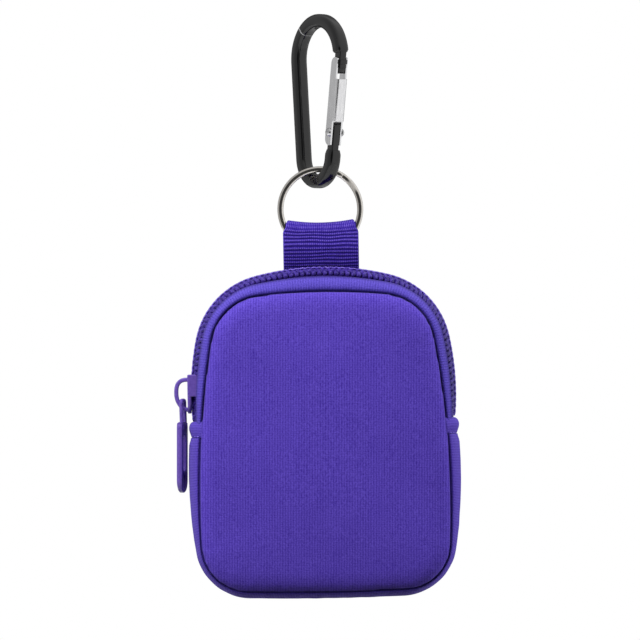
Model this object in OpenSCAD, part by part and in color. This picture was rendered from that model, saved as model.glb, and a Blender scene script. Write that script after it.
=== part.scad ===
// Keychain wallet pouch: a zipped fabric pouch on a webbing loop, a split ring and a carabiner.
// The origin is the underside of the carabiner's top bow, +Z is up and the front faces -Y.

/* [Carabiner] */
// Thickness of the bow's bar, from inside to outside
rod_thickness = 4.4; // [3.6:0.1:5]
// Width of the bow's bar, from side to side
rod_width = 4.8; // [4.6:0.1:6]
// Rounding of the bar's edges
rod_edge_r = 1.6; // [0.8:0.1:1.7]
// Centreline radius of the wide top end
top_bow_r = 12.4; // [11.4:0.2:14]
// Centreline radius of the narrow bottom end
bottom_bow_r = 8.5; // [8:0.1:9]
// Distance between the centres of the two ends
bow_span = 32.4; // [31:0.2:38]
// Turn of the carabiner about the upright axis, in degrees
carabiner_turn = 56; // [0:1:80]
// Lean of the hanging carabiner, in degrees
carabiner_lean = 0.9; // [0:0.1:1.5]

/* [Gate] */
// Width of the gate channel
gate_width = 4.3; // [4.1:0.1:4.8]
// Depth of the gate channel
gate_depth = 4.5; // [4:0.1:5]
// Thickness of the gate's sheet
gate_sheet = 0.6; // [0.4:0.05:0.7]
// Radius of the channel's rounded base edges
gate_base_r = 1.2; // [0.8:0.1:1.5]
// Height of the gate's lower end above the bottom tangent point
gate_start = 4.5; // [4:0.1:5]
// Height of the gate's upper end above the bottom tangent point
gate_end = 33.8; // [32:0.2:34.4]
// Height where the gate's base strip starts
base_strip_start = 12.6; // [12.4:0.1:14]
// Height where the gate's base strip ends
base_strip_end = 26.7; // [22:0.1:27.5]
// Height of the rivet above the bottom tangent point
rivet_height = 8.8; // [8.4:0.1:9.4]
// Radius of the rivet's shank
rivet_r = 0.8; // [0.6:0.05:1]
// Radius of the rivet's heads
rivet_head_r = 1.5; // [1.1:0.05:1.8]
// Height of the rivet's domed heads
rivet_head_h = 1.2; // [0.5:0.1:1.3]

/* [Split ring] */
// Radius of the hole in the split ring
ring_hole_r = 12.2; // [11.6:0.1:14]
// Width of the ring's flat wire
ring_wire_w = 2; // [1.6:0.1:2.4]
// Thickness of the two turns together
ring_thickness = 2.6; // [2.2:0.1:2.8]
// Height of the ring's hole above the bar that it hangs on
ring_rest_gap = 0.9; // [0.8:0.1:1]

/* [Webbing] */
// Width of the webbing
webbing_w = 25; // [20:0.5:28]
// Width of the webbing where it is folded inside the ring
fold_w = 21.6; // [16:0.2:21.8]
// Thickness of one ply of webbing
ply = 1.1; // [0.8:0.1:1.3]
// Half of the pocket that holds the ring
pocket_r = 1.9; // [1.7:0.1:2.2]
// Drop from the ring's centre to the centre of the fold
fold_drop = 6.3; // [6:0.1:6.6]

/* [Pouch] */
// Half of the pouch's width at its widest place
pouch_half_w = 45; // [42:0.5:50]

/* [Zip line] */
// Inset of the zip's side from the pouch's widest place
zip_inset = 1; // [0.6:0.1:1.6]
// Radius of the zip's top arc
zip_top_r = 90; // [80:1:120]
// Radius of the zip's corners
zip_corner_r = 27; // [24:0.5:30]
// Radius of the zip's side arcs
zip_side_r = 90; // [84:1:110]
// Drop from the zip's top to its widest place
zip_widest_drop = 42; // [38:0.5:50]
// Drop from the ring's centre to the top of the zip
zip_top_drop = 18.9; // [18.6:0.1:20]

/* [Panels] */
// Inset of a panel's side from the pouch's widest place
panel_inset = 3.4; // [3:0.1:4]
// Drop from the zip's top to the panel's top edge
panel_top_drop = 8.1; // [7.4:0.1:9]
// Rise from the pouch's lowest place to the panel's bottom edge
panel_bottom_rise = 2.3; // [1.9:0.1:3]
// Radius of the panel's top arc
panel_top_r = 180; // [150:5:240]
// Radius of the panel's top corners
panel_corner_r = 18; // [16:0.5:20]
// Radius of the panel's bottom corners
panel_low_corner_r = 15.5; // [14:0.5:17]
// Radius of the panel's long sides
panel_side_r = 300; // [260:5:360]
// Drop from the zip's top to the panel's widest place
panel_widest_drop = 77; // [74:0.5:80]
// Half of the pouch's depth between its two seams
seam_h = 10.5; // [9.6:0.1:14]
// Rise of the panel's face above its seam
panel_rise = 3.5; // [2.5:0.1:4.5]

/* [Gusset] */
// Drop from the zip's top to the gusset's lowest place
gusset_bottom_drop = 109.8; // [106:0.2:114]
// Radius of the gusset's bottom corners
gusset_corner_r = 18.5; // [17:0.5:20]
// Radius of the gusset's long sides
gusset_side_r = 170; // [150:5:220]
// Radius of the bottom edge's shallow arc
bottom_arc_r = 800; // [500:20:1200]
// Drop from the zip's top to the gusset's widest place
gusset_widest_drop = 68.2; // [66:0.2:71]
// Thickness of the gusset
gusset_wall = 3; // [2:0.1:4]

/* [Zip] */
// Height of the coil above its tape
coil_h = 2.2; // [1.8:0.1:2.4]
// Width of one half of the coil
coil_w = 2.5; // [2:0.1:2.6]
// Half of the gap between the two coil halves
coil_gap_half = 0.5; // [0.45:0.05:0.6]
// Thickness of the zip tape
tape_t = 0.6; // [0.4:0.05:0.7]
// Thickness of the band between tape and panel
strip_t = 1.9; // [1.5:0.1:2.4]
// Height above the middle plane where the strip starts
strip_start_h = 5.8; // [5.6:0.1:6.2]
// Angle of the end tabs below the zip's widest place
tab_angle = 5.7; // [5.5:0.1:6.2]
// Length of an end tab along the zip
tab_l = 4.8; // [3.6:0.1:5]
// Thickness of an end tab
tab_t = 4; // [3:0.1:4.4]
// Half of the width of an end tab
tab_half_w = 9; // [7:0.5:9.4]

/* [Slider] */
// Length of the slider
slider_l = 12.9; // [12:0.1:13.4]
// Width of the slider
slider_w = 8.4; // [8.2:0.1:9.2]
// Thickness of the slider's outer plate
outer_plate_t = 1.2; // [0.9:0.05:1.3]
// Thickness of the slider's inner plate
inner_plate_t = 0.8; // [0.6:0.05:1.2]
// Length of the flanges that hold the tapes
flange_l = 7.3; // [5:0.1:8]
// Thickness of the bail's band
bail_t = 1.6; // [1.2:0.1:1.7]
// Width of the bail's band
bail_w = 2.4; // [1.8:0.1:2.6]
// Reach of the bail from the coil's face to its centreline
bail_reach = 5.05; // [4.9:0.05:5.4]

/* [Pull] */
// Radius of the bar that hangs in the bail
pull_bar_r = 0.7; // [0.5:0.05:0.72]
// Length of the pull below its bar
pull_l = 31; // [22:0.5:36]
// Width of the pull's body
pull_w = 8.6; // [7.6:0.1:9]
// Thickness of the pull's body
pull_t = 1.7; // [1.2:0.1:1.8]
// Width of the pull's neck
neck_w = 6; // [5.4:0.1:6.4]
// Thickness of the neck
neck_t = 1.4; // [1:0.1:1.4]
// Length of the eye that the bail passes through
eye_l = 7.4; // [6.8:0.1:8]
// Turn of the hanging pull about the upright axis, in degrees
pull_turn = 5; // [0:1:5]

/* [Hang and fold] */
// Lean of the hanging pouch, in degrees
pouch_lean = 1; // [0:0.1:1]
// Distance from the ring's plane forward to the pouch's middle plane
pouch_forward = 2; // [1.8:0.1:2.2]
// Drop from the zip's top to the line where the front folds
fold_line_drop = 34.7; // [33:0.1:35]
// Gap between the parts on each side of the fold line
fold_gap = 0.3; // [0.3:0.05:0.5]

/* [Hidden] */
$fn = 64;
// Overrun of a cut past the face that it opens
cut = 1;

// Angles
full_turn = 360;
half_turn = 180;
quarter_turn = 90;

// Carabiner values
bow_tilt = asin((top_bow_r - bottom_bow_r) / bow_span);
top_centre = [0, rod_thickness / 2 - top_bow_r];
bottom_centre = top_centre - [0, bow_span];
line_l = bow_span * cos(bow_tilt);
nose_angle = 8;
tongue_t = 3.2;
tongue_w = 2.7;
tongue_shift = -0.3;
nose_tongue_end = 28.3;
hinge_tongue_end = 12.2;
hinge_shoulder = 3;
tongue_root = 4;
pivot_fit = 0.05;
head_fit = 0.08;

// Gate spring values
leaf_t = 0.25;
leaf_w = 2.2;
leaf_start = 12.4;
leaf_end = 20;
leaf_seat = 0.1;

// Ring values
bar_top = bottom_centre.y - bottom_bow_r + rod_thickness / 2;
ring_z = bar_top + ring_rest_gap - ring_hole_r;
ring_mid_r = ring_hole_r + ring_wire_w / 2;
turn_gap = 0.1;
turn_t = (ring_thickness - turn_gap) / 2;
wire_edge_r = 0.45;
ring_step = 12;
cross_at = 50;
cross_start = 328;
cross_end = 356;
cross_clear = 2;

// Zip line values, in the pouch's upright plane
zip_half_w = pouch_half_w - zip_inset;
zip_top = ring_z - zip_top_drop;
zip_top_c = [0, zip_top - zip_top_r];
zip_widest = zip_top - zip_widest_drop;
zip_side_c = [zip_half_w - zip_side_r, zip_widest];
zip_corner_c = inner_centre(zip_top_c, zip_top_r - zip_corner_r, zip_side_c, zip_side_r - zip_corner_r);
fold_z = zip_top - fold_line_drop;
ends_a = side_angle(zip_side_c, zip_side_r, fold_z - fold_gap / 2);

// Panel outline values
panel_half_w = pouch_half_w - panel_inset;
panel_bottom_drop = gusset_bottom_drop - panel_bottom_rise;
panel_top_c = [0, zip_top - panel_top_drop - panel_top_r];
panel_side_c = [panel_half_w - panel_side_r, zip_top - panel_widest_drop];
panel_corner_c = inner_centre(panel_top_c, panel_top_r - panel_corner_r,
                              panel_side_c, panel_side_r - panel_corner_r);
panel_bottom_c = [0, zip_top - panel_bottom_drop + bottom_arc_r];
panel_low_corner_c = inner_centre(panel_bottom_c, bottom_arc_r - panel_low_corner_r,
                                  panel_side_c, panel_side_r - panel_low_corner_r);

// Gusset outline values
gusset_bottom_c = [0, zip_top - gusset_bottom_drop + bottom_arc_r];
gusset_side_c = [pouch_half_w - gusset_side_r, zip_top - gusset_widest_drop];
gusset_corner_c = inner_centre(gusset_bottom_c, bottom_arc_r - gusset_corner_r,
                               gusset_side_c, gusset_side_r - gusset_corner_r);
tab_gap = 0.3;
tab_z = zip_side_c.y - zip_side_r * sin(tab_angle);
ends_z = tab_z - tab_l - tab_gap;

// Shares that shape the crowned panels: inset in panel rises, and height in rises
crown_shares = [[0, 0], [0.1, 0.35], [0.4, 0.68], [0.95, 0.9], [1.9, 1]];
crown_middle_share = 1.1;
// Shares that shape the strip between its start and the panel's seam
strip_start_share = 0.42;
strip_shares = [[0, 0], [0.2, 0.34], [0.55, 0.7], [1, 1]];
// Shares that shape the gusset's bulge: reach, and height between the seams
gusset_shares = [[0, -1], [0.62, -0.68], [0.9, -0.34], [1, 0], [0.9, 0.34], [0.62, 0.68], [0, 1]];
// Steps of the outline's arcs
side_steps = 8;
corner_steps = 8;
quarter_steps = 3;
top_steps = 8;

// Webbing values
webbing_back = 2.4;
webbing_base_drop = 0.5;
fold_centre = ring_z - fold_drop;
pocket_floor_gap = 0.4;
pocket_floor = ring_z - ring_hole_r - ring_wire_w - pocket_floor_gap;
pocket_tip_drop = 1.8;
fold_narrow_drop = 0.3;
fold_narrow_end = fold_centre - fold_narrow_drop;
tails_l = 5;
tails_gap = 0.3;

// Slider values
coil_clear = 0.2;
tape_clear = 0.35;
flange_in = 3.35;
flange_reach = 1.95;
post_l = 2.5;
post_t = 0.5;
post_low = -4.5;
plate_corner_r = 1.2;
outer_face = coil_clear + outer_plate_t;
// Shares of the bail's reach and of half the slider's length
bail_shares = [[0.28, 0.74], [0.79, 0.71], [1, 0.5], [1, -0.09], [0.57, -0.71], [0.28, -0.81]];
pull_pivot_share = [0.515, -0.25];
pull_pivot = [pull_pivot_share.x * bail_reach, pull_pivot_share.y * slider_l / 2];

// Pull values
pull_offset = 0.5;
eye_half_w = 1.7;
shoulder_r = 1.6;
slot_start = 12.6;
slot_l = 11.2;
slot_w = 4;

// Centre of an arc inside two others, on the right
function inner_centre(p, r, q, s) =
    let (d = norm(q - p), along = (r * r - s * s + d * d) / (2 * d), e = (q - p) / d,
         across = sqrt(r * r - along * along),
         one = p + along * e + across * [-e.y, e.x], two = p + along * e - across * [-e.y, e.x])
    one.x > two.x ? one : two;
function angle_from(c, p) = atan2(p.y - c.y, p.x - c.x);
function side_angle(c, r, z) = asin((z - c.y) / r);

// Points [x, z, normal's angle] along an arc, with the first left out when skip is 1
function arc_points(c, r, from, to, steps, skip = 0) =
    [for (i = [skip:steps]) let (a = from + (to - from) * i / steps) [c.x + r * cos(a), c.y + r * sin(a), a]];
function three_arcs(sc, sr, a0, cc, cr, ec, er, a3) =
    let (a1 = angle_from(sc, cc), a2 = angle_from(ec, cc))
    concat(arc_points(sc, sr, a0, a1, side_steps), arc_points(cc, cr, a1, a2, corner_steps, 1),
           arc_points(ec, er, a2, a3, top_steps, 1));
// A right half that starts low, carried over the middle to the left
function mirrored(half) =
    concat(half, [for (i = [len(half) - 2:-1:0]) [-half[i].x, half[i].y, half_turn - half[i].z]]);

function zip_upper(z) = mirrored(three_arcs(zip_side_c, zip_side_r, side_angle(zip_side_c, zip_side_r, z),
    zip_corner_c, zip_corner_r, zip_top_c, zip_top_r, quarter_turn));
function panel_upper(z) = mirrored(three_arcs(panel_side_c, panel_side_r,
    side_angle(panel_side_c, panel_side_r, z), panel_corner_c, panel_corner_r,
    panel_top_c, panel_top_r, quarter_turn));
function panel_under(z) = mirrored(three_arcs(panel_side_c, panel_side_r,
    side_angle(panel_side_c, panel_side_r, z), panel_low_corner_c, panel_low_corner_r,
    panel_bottom_c, bottom_arc_r, -quarter_turn));
function gusset_under(z) = mirrored(three_arcs(gusset_side_c, gusset_side_r,
    side_angle(gusset_side_c, gusset_side_r, z), gusset_corner_c, gusset_corner_r,
    gusset_bottom_c, bottom_arc_r, -quarter_turn));

function flat2(p) = [p.x, p.y];
function reversed(list) = [for (i = [len(list) - 1:-1:0]) list[i]];
function last(list) = list[len(list) - 1];
function flattened(lists) = [for (one = lists) for (item = one) item];

// Side faces of a stack of closed rings of n points each
function skin_faces(n, rings) = [
    for (k = [0:rings - 2]) for (j = [0:n - 1])
        let (a = k * n + j, b = k * n + (j + 1) % n, c = a + n, d = b + n)
        each [[a, b, d], [a, d, c]]
];

// A stack of rings closed by a fan at each end
module ring_stack(rings, first_tip, last_tip) {
    n = len(rings[0]);
    m = len(rings);
    points = concat(flattened(rings), [first_tip, last_tip]);
    first_fan = [for (j = [0:n - 1]) [(j + 1) % n, j, n * m]];
    last_fan = [for (j = [0:n - 1]) [n * (m - 1) + j, n * (m - 1) + (j + 1) % n, n * m + 1]];
    polyhedron(points, concat(skin_faces(n, m), first_fan, last_fan));
}

// A band whose profile has as many inner points as outer ones, at each station
module band(stations) {
    n = len(stations[0]);
    m = len(stations);
    start_cap = [for (k = [0:n / 2 - 2]) each [[k + 1, k, n - 1 - k], [k + 1, n - 1 - k, n - 2 - k]]];
    base = n * (m - 1);
    end_cap = [for (k = [0:n / 2 - 2])
        each [[base + k, base + k + 1, base + n - 1 - k],
              [base + k + 1, base + n - 2 - k, base + n - 1 - k]]];
    polyhedron(flattened(stations), concat(skin_faces(n, m), start_cap, end_cap));
}

// Upright drawing plane: x to the right, y up, and height towards the front
module upright() {
    rotate([90, 0, 0]) children();
}

module in_carabiner() {
    rotate([0, carabiner_lean, 0]) rotate([0, 0, -carabiner_turn]) upright() children();
}

module in_pouch() {
    translate([0, -pouch_forward, 0]) upright()
        translate([0, ring_z]) rotate(pouch_lean) translate([0, -ring_z]) children();
}

// Side view drawing: x to the back, y up, spread evenly along the width
module from_side(width) {
    rotate([90, 0, 90]) linear_extrude(width, center = true) children();
}

module rounded_section(a, b, r) {
    square([a - 2 * r, b], center = true);
    square([a, b - 2 * r], center = true);
    for (x = [-1, 1], y = [-1, 1]) translate([x * (a / 2 - r), y * (b / 2 - r)]) circle(r);
}

// A band of one width along straight stretches with round joints
module stroke(points, width) {
    for (i = [0:len(points) - 1]) translate(points[i]) circle(d = width);
    for (i = [0:len(points) - 2]) {
        step = points[i + 1] - points[i];
        translate(points[i]) rotate(atan2(step.y, step.x)) translate([0, -width / 2])
            square([norm(step), width]);
    }
}

// Carabiner
// The straight line of the gate side: x outwards, y up from the bottom tangent point
module on_gate_line() {
    translate(bottom_centre) rotate(-bow_tilt) translate([bottom_bow_r, 0]) children();
}

module along_line(from, to) {
    translate([0, from]) rotate([-90, 0, 0]) linear_extrude(to - from) children();
}

// Outline of a bar with rounded edges: x outwards, y across
function rounded_points(a, b, r) = flattened([for (corner = [[1, 1], [-1, 1], [-1, -1], [1, -1]])
    quarter([corner.x * (a / 2 - r), corner.y * (b / 2 - r)], r, atan2(corner.y, corner.x) - 45)]);
rod_outline = rounded_points(rod_thickness, rod_width, rod_edge_r);

// The bow's centreline from the nose over the top, down the spine and up to the hinge
bow_path = let (foot = bottom_centre + bottom_bow_r * [cos(bow_tilt), -sin(bow_tilt)],
                rise = hinge_shoulder * [sin(bow_tilt), cos(bow_tilt)])
    concat(arc_points(top_centre, top_bow_r, nose_angle, 180 + bow_tilt, 3 * corner_steps),
           arc_points(bottom_centre, bottom_bow_r, 180 + bow_tilt, 360 - bow_tilt, 3 * corner_steps),
           [[foot.x + rise.x, foot.y + rise.y, -bow_tilt]]);

module tongue(from, to, rounded) {
    linear_extrude(tongue_w, center = true) translate([tongue_shift, 0]) {
        translate([-tongue_t / 2, from]) square([tongue_t, to - from]);
        translate([0, rounded]) circle(d = tongue_t);
    }
}

module carabiner_hook() {
    nose_round = nose_tongue_end + tongue_t / 2;
    hinge_round = hinge_tongue_end - tongue_t / 2;
    color("#17171a") in_carabiner() difference() {
        union() {
            ring_stack([for (p = bow_path) [for (q = rod_outline)
                [p.x + q.x * cos(p.z), p.y + q.x * sin(p.z), q.y]]], bow_path[0], last(bow_path));
            on_gate_line() tongue(nose_round, line_l + tongue_root, nose_round);
            on_gate_line() tongue(0, hinge_round, hinge_round);
        }
        on_gate_line() translate([0, rivet_height]) cylinder(r = rivet_r, h = rod_width, center = true);
    }
}

module gate_rivet() {
    half = gate_width / 2 + head_fit;
    dome_r = (rivet_head_r * rivet_head_r + rivet_head_h * rivet_head_h) / (2 * rivet_head_h);
    color("#c9cacc") in_carabiner() on_gate_line() translate([0, rivet_height]) {
        cylinder(r = rivet_r, h = 2 * half, center = true);
        for (side = [0, 1]) mirror([0, 0, side]) translate([0, 0, half]) intersection() {
            translate([0, 0, rivet_head_h - dome_r]) sphere(dome_r);
            cylinder(r = rivet_head_r, h = rivet_head_h);
        }
    }
}

module gate_spring() {
    color("#b9babd") in_carabiner() on_gate_line()
        translate([gate_depth / 2 - gate_sheet - leaf_seat - leaf_t, leaf_start, -leaf_w / 2])
            cube([leaf_t, leaf_end - leaf_start, leaf_w]);
}

module gate_section() {
    inner_d = gate_depth - gate_sheet;
    difference() {
        union() {
            rounded_section(gate_depth, gate_width, gate_base_r);
            translate([-gate_depth / 2, -gate_width / 2]) square([gate_base_r, gate_width]);
        }
        translate([-gate_depth / 2 - cut, gate_sheet - gate_width / 2])
            square([inner_d + cut, gate_width - 2 * gate_sheet]);
    }
}

module carabiner_gate() {
    end_r = gate_depth / 2;
    base_x = gate_depth / 2 - gate_base_r;
    wall_h = gate_width + 2 * cut;
    color("#c3c4c6") in_carabiner() on_gate_line() difference() {
        intersection() {
            along_line(gate_start, gate_end) gate_section();
            linear_extrude(wall_h, center = true)
                stroke([[0, gate_start + end_r], [0, gate_end - end_r]], gate_depth);
        }
        translate([base_x, gate_start - cut, -wall_h / 2])
            cube([gate_depth, base_strip_start - gate_start + cut, wall_h]);
        translate([base_x, base_strip_end, -wall_h / 2])
            cube([gate_depth, gate_end - base_strip_end + cut, wall_h]);
        translate([0, rivet_height]) cylinder(r = rivet_r + pivot_fit, h = wall_h, center = true);
    }
}

// Split ring: one flat wire wound twice, crossing from the front turn to the back one
module split_ring() {
    lift = (turn_t + turn_gap) / 2;
    section = rounded_points(ring_wire_w, turn_t, wire_edge_r);
    last_a = full_turn + cross_start - cross_clear;
    steps = floor(last_a / ring_step);
    wound = [for (i = [0:steps])
        let (a = cross_clear + (last_a - cross_clear) * i / steps,
             t = max(0, min(1, (a - cross_start) / (cross_end - cross_start))),
             level = lift * (1 - 2 * t * t * (3 - 2 * t)))
        [for (q = section) [(ring_mid_r + q.x) * cos(a), (ring_mid_r + q.x) * sin(a), level + q.y]]];
    middles = [for (one = [wound[0], last(wound)]) (one[0] + one[len(one) / 2]) / 2];
    color("#c9cacc") upright() translate([0, ring_z]) rotate(cross_at - cross_end)
        ring_stack(wound, middles[0], middles[1]);
}

// Webbing
// A round top on a straight stretch that narrows to a foot
module drop_shape(r, foot) {
    translate([0, fold_centre]) circle(r);
    polygon(concat([[r, fold_centre], [-r, fold_centre], [-r, pocket_floor]], foot, [[r, pocket_floor]]));
}

module webbing_side() {
    base = [webbing_back, zip_top - webbing_base_drop];
    difference() {
        union() {
            drop_shape(pocket_r + ply, [base - [ply, 0], base + [ply, 0]]);
            translate(base) circle(ply);
        }
        drop_shape(pocket_r, [[webbing_back / 2, pocket_floor - pocket_tip_drop]]);
    }
}

module webbing_loop() {
    shoulder_w = (webbing_w - fold_w) / 2;
    deep = 2 * (pocket_r + ply + cut);
    color("#583ebe") difference() {
        translate([0, 0, ring_z]) rotate([0, -pouch_lean, 0]) translate([0, 0, -ring_z])
            from_side(webbing_w) webbing_side();
        translate([0, 0, ring_z]) rotate([0, -pouch_lean, 0]) translate([0, 0, -ring_z])
            for (side = [-1, 1])
                translate([side * (fold_w + shoulder_w + cut) / 2, 0, fold_narrow_end + fold_drop / 2])
                    cube([shoulder_w + cut, deep, fold_drop], center = true);
    }
}

module tails_block() {
    base_z = zip_top - webbing_base_drop;
    back = webbing_back + pouch_forward;
    translate([-webbing_w / 2, base_z - ply - tails_gap - tails_l, -back - ply])
        cube([webbing_w, tails_l, 2 * ply]);
}

module webbing_tails() {
    color("#583ebe") in_pouch() tails_block();
}

// Crowned panels, drawn towards the front
function inset_point(p, inset, level, keep) =
    let (near = min(1, abs(p.y - keep) / panel_corner_r))
    [p.x - inset * cos(p.z), p.y - inset * sin(p.z) * near, level];

function panel_rings(outline, keep) = concat(
    [[for (p = outline) [p.x, p.y, seam_h]]],
    [for (k = [1:len(crown_shares) - 1])
        [for (p = outline) inset_point(p, crown_shares[k][0] * panel_rise,
                                       seam_h + crown_shares[k][1] * panel_rise, keep)]]);

module crowned(outline, keep) {
    middle = (outline[0].y + outline[(len(outline) - 1) / 2].y) / 2;
    ring_stack(panel_rings(outline, keep), [0, middle, seam_h],
               [0, middle, seam_h + crown_middle_share * panel_rise]);
}

module front_panel_upper() {
    low = fold_z + fold_gap / 2;
    color("#5840b2") in_pouch() crowned(panel_upper(low), low);
}

module front_panel_lower() {
    high = fold_z - fold_gap / 2;
    color("#5840b2") in_pouch() crowned(reversed(panel_under(high)), high);
}

module back_panel() {
    upper = panel_upper(fold_z);
    under = reversed(panel_under(fold_z));
    outline = concat(upper, [for (i = [1:len(under) - 2]) under[i]]);
    color("#5840b2") in_pouch() mirror([0, 0, 1]) crowned(outline, zip_top + gusset_bottom_drop);
}

// Strip between the zip tape and a panel's seam, towards the front
function strip_profile(p, q) =
    let (d = norm(flat2(q) - flat2(p)), u = (flat2(q) - flat2(p)) / d,
         outer = [for (s = strip_shares)
             let (reach = d * (strip_start_share + (1 - strip_start_share) * s[0]),
                  at = flat2(p) + reach * u)
             [at.x, at.y, strip_start_h + s[1] * (seam_h - strip_start_h)]],
         inner = [for (o = reversed(outer)) o + strip_t * [u.x, u.y, 0]])
    concat(outer, inner);

function strip_stations(z) =
    let (zips = zip_upper(z), panels = panel_upper(z))
    [for (i = [0:len(zips) - 1]) strip_profile(zips[i], panels[i])];

module strip_end() {
    high = fold_z - fold_gap / 2;
    steps = side_steps / 2;
    heights = [for (i = [0:steps]) ends_z + (high - ends_z) * i / steps];
    band([for (z = heights) strip_profile(
        arc_points(zip_side_c, zip_side_r, side_angle(zip_side_c, zip_side_r, z), 0, 1)[0],
        arc_points(panel_side_c, panel_side_r, side_angle(panel_side_c, panel_side_r, z), 0, 1)[0])]);
}

module front_zip_strip() {
    color("#6450d2") in_pouch() band(strip_stations(fold_z + fold_gap / 2));
}

module front_strip_ends() {
    color("#6450d2") in_pouch() for (side = [0, 1]) mirror([side, 0, 0]) strip_end();
}

module back_zip_strip() {
    color("#6450d2") in_pouch() mirror([0, 0, 1]) band(strip_stations(ends_z));
}

// Gusset between the two seams
function gusset_profile(g, q) =
    let (d = norm(flat2(g) - flat2(q)), u = (flat2(g) - flat2(q)) / d,
         outer = [for (s = gusset_shares) [q.x + u.x * d * s[0], q.y + u.y * d * s[0], s[1] * seam_h]],
         inner = [for (o = reversed(outer)) o - gusset_wall * [u.x, u.y, 0]])
    concat(outer, inner);

module gusset() {
    outer = gusset_under(ends_z);
    seam = panel_under(ends_z);
    color("#4a369c") in_pouch() band([for (i = [0:len(outer) - 1]) gusset_profile(outer[i], seam[i])]);
}

// Bands of one profile, x outwards and y towards the front, along the zip line
function swept(path, profile) = [for (p = path)
    [for (q = profile) [p.x + q.x * cos(p.z), p.y + q.x * sin(p.z), q.y]]];

function quarter(c, r, from) =
    [for (k = [0:quarter_steps]) let (a = from + quarter_turn * k / quarter_steps) c + r * [cos(a), sin(a)]];

coil_profile = let (r = coil_h / 2, far = coil_gap_half + coil_w) concat(
    [[-coil_h, coil_gap_half]], quarter([-r, coil_gap_half + r], r, -90),
    quarter([-r, far - r], r, 0), [[-coil_h, far]]);

tape_profile = let (under = -coil_h - tape_t, reach = under - strip_t, lip = strip_start_h - tape_t)
    [[-coil_h, coil_gap_half], [-coil_h, strip_start_h], [reach, strip_start_h],
     [reach, lip], [under, lip], [under, coil_gap_half]];

module along_ends(profile) {
    path = arc_points(zip_side_c, zip_side_r, -tab_angle, ends_a, side_steps / 2);
    for (side = [0, 1]) mirror([side, 0, 0]) band(swept(path, profile));
}

module front_zip_tape() {
    color("#33246e") in_pouch() band(swept(zip_upper(fold_z + fold_gap / 2), tape_profile));
}

module front_tape_ends() {
    color("#33246e") in_pouch() along_ends(tape_profile);
}

module back_zip_tape() {
    color("#33246e") in_pouch() difference() {
        mirror([0, 0, 1]) band(swept(zip_upper(tab_z), tape_profile));
        tails_block();
    }
}

module front_zip_coil() {
    color("#3d2d86") in_pouch() band(swept(zip_upper(fold_z + fold_gap / 2), coil_profile));
}

module front_coil_ends() {
    color("#3d2d86") in_pouch() along_ends(coil_profile);
}

module back_zip_coil() {
    color("#3d2d86") in_pouch() mirror([0, 0, 1]) band(swept(zip_upper(tab_z), coil_profile));
}

// Room under a tab for the strip: x outwards from the zip line, y towards the front
module strip_room() {
    d = arc_points(zip_side_c, zip_side_r, side_angle(zip_side_c, zip_side_r, ends_z), 0, 1)[0].x
        - arc_points(panel_side_c, panel_side_r, side_angle(panel_side_c, panel_side_r, ends_z), 0, 1)[0].x;
    face = [for (s = strip_shares) [tab_gap - d * (strip_start_share + (1 - strip_start_share) * s[0]),
                                    strip_start_h + s[1] * (seam_h - strip_start_h)]];
    polygon(concat([[-tab_t, strip_start_h - tab_gap], [face[0].x, strip_start_h - tab_gap]],
                   face, [[-tab_t, seam_h]]));
}

// Rolled tab over an end of the zip, on the right
module end_tab() {
    in_shift = tab_t / 2 - coil_h;
    translate(zip_side_c) rotate(-tab_angle) translate([zip_side_r, -tab_l / 2]) difference() {
        translate([in_shift, 0]) linear_extrude(2 * tab_half_w, center = true)
            rounded_section(tab_t, tab_l, tab_t / 4);
        for (side = [0, 1]) mirror([0, 0, side]) rotate([90, 0, 0])
            linear_extrude(tab_l + cut, center = true) strip_room();
    }
}

module left_end_tab() {
    color("#5f4bbe") in_pouch() mirror([1, 0, 0]) end_tab();
}

module right_end_tab() {
    color("#5f4bbe") in_pouch() end_tab();
}

// Slider at the widest place on the left: x outwards, y up along the zip
module at_slider() {
    in_pouch() translate([-zip_half_w, zip_widest]) mirror([1, 0, 0]) children();
}

// Flat shapes seen from the slider's outer face: x up along the zip, y across it
module facing(low, high) {
    translate([low, 0, 0]) rotate([90, 0, 90]) linear_extrude(high - low) children();
}

module plate_shape() {
    r = slider_w / 2;
    top = slider_l / 2;
    translate([r - top, 0]) circle(r);
    translate([r - top, -r]) square([slider_l - r - plate_corner_r, slider_w]);
    translate([0, plate_corner_r - r]) square([top, slider_w - 2 * plate_corner_r]);
    for (side = [-1, 1])
        translate([top - plate_corner_r, side * (r - plate_corner_r)]) circle(plate_corner_r);
}

module flange_shape() {
    intersection() {
        plate_shape();
        for (side = [0, 1]) mirror([0, side]) translate([slider_l / 2 - flange_l, flange_in])
            square([flange_l, slider_w / 2 - flange_in]);
    }
}

module slider_body() {
    inner_face = -coil_h - tape_t - tape_clear;
    color("#4b3a91") at_slider() {
        facing(coil_clear, outer_face) plate_shape();
        facing(inner_face - inner_plate_t, inner_face) plate_shape();
        facing(-flange_reach, coil_clear) flange_shape();
        translate([inner_face, post_low, -post_t / 2]) cube([coil_clear - inner_face, post_l, post_t]);
    }
}

module slider_bail() {
    points = [for (s = bail_shares) [s[0] * bail_reach, s[1] * slider_l / 2]];
    color("#4b3a91") at_slider() difference() {
        linear_extrude(bail_w, center = true) stroke(points, bail_t);
        translate([outer_face - bail_reach, -slider_l / 2, -bail_w])
            cube([bail_reach, slider_l, 2 * bail_w]);
    }
}

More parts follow.
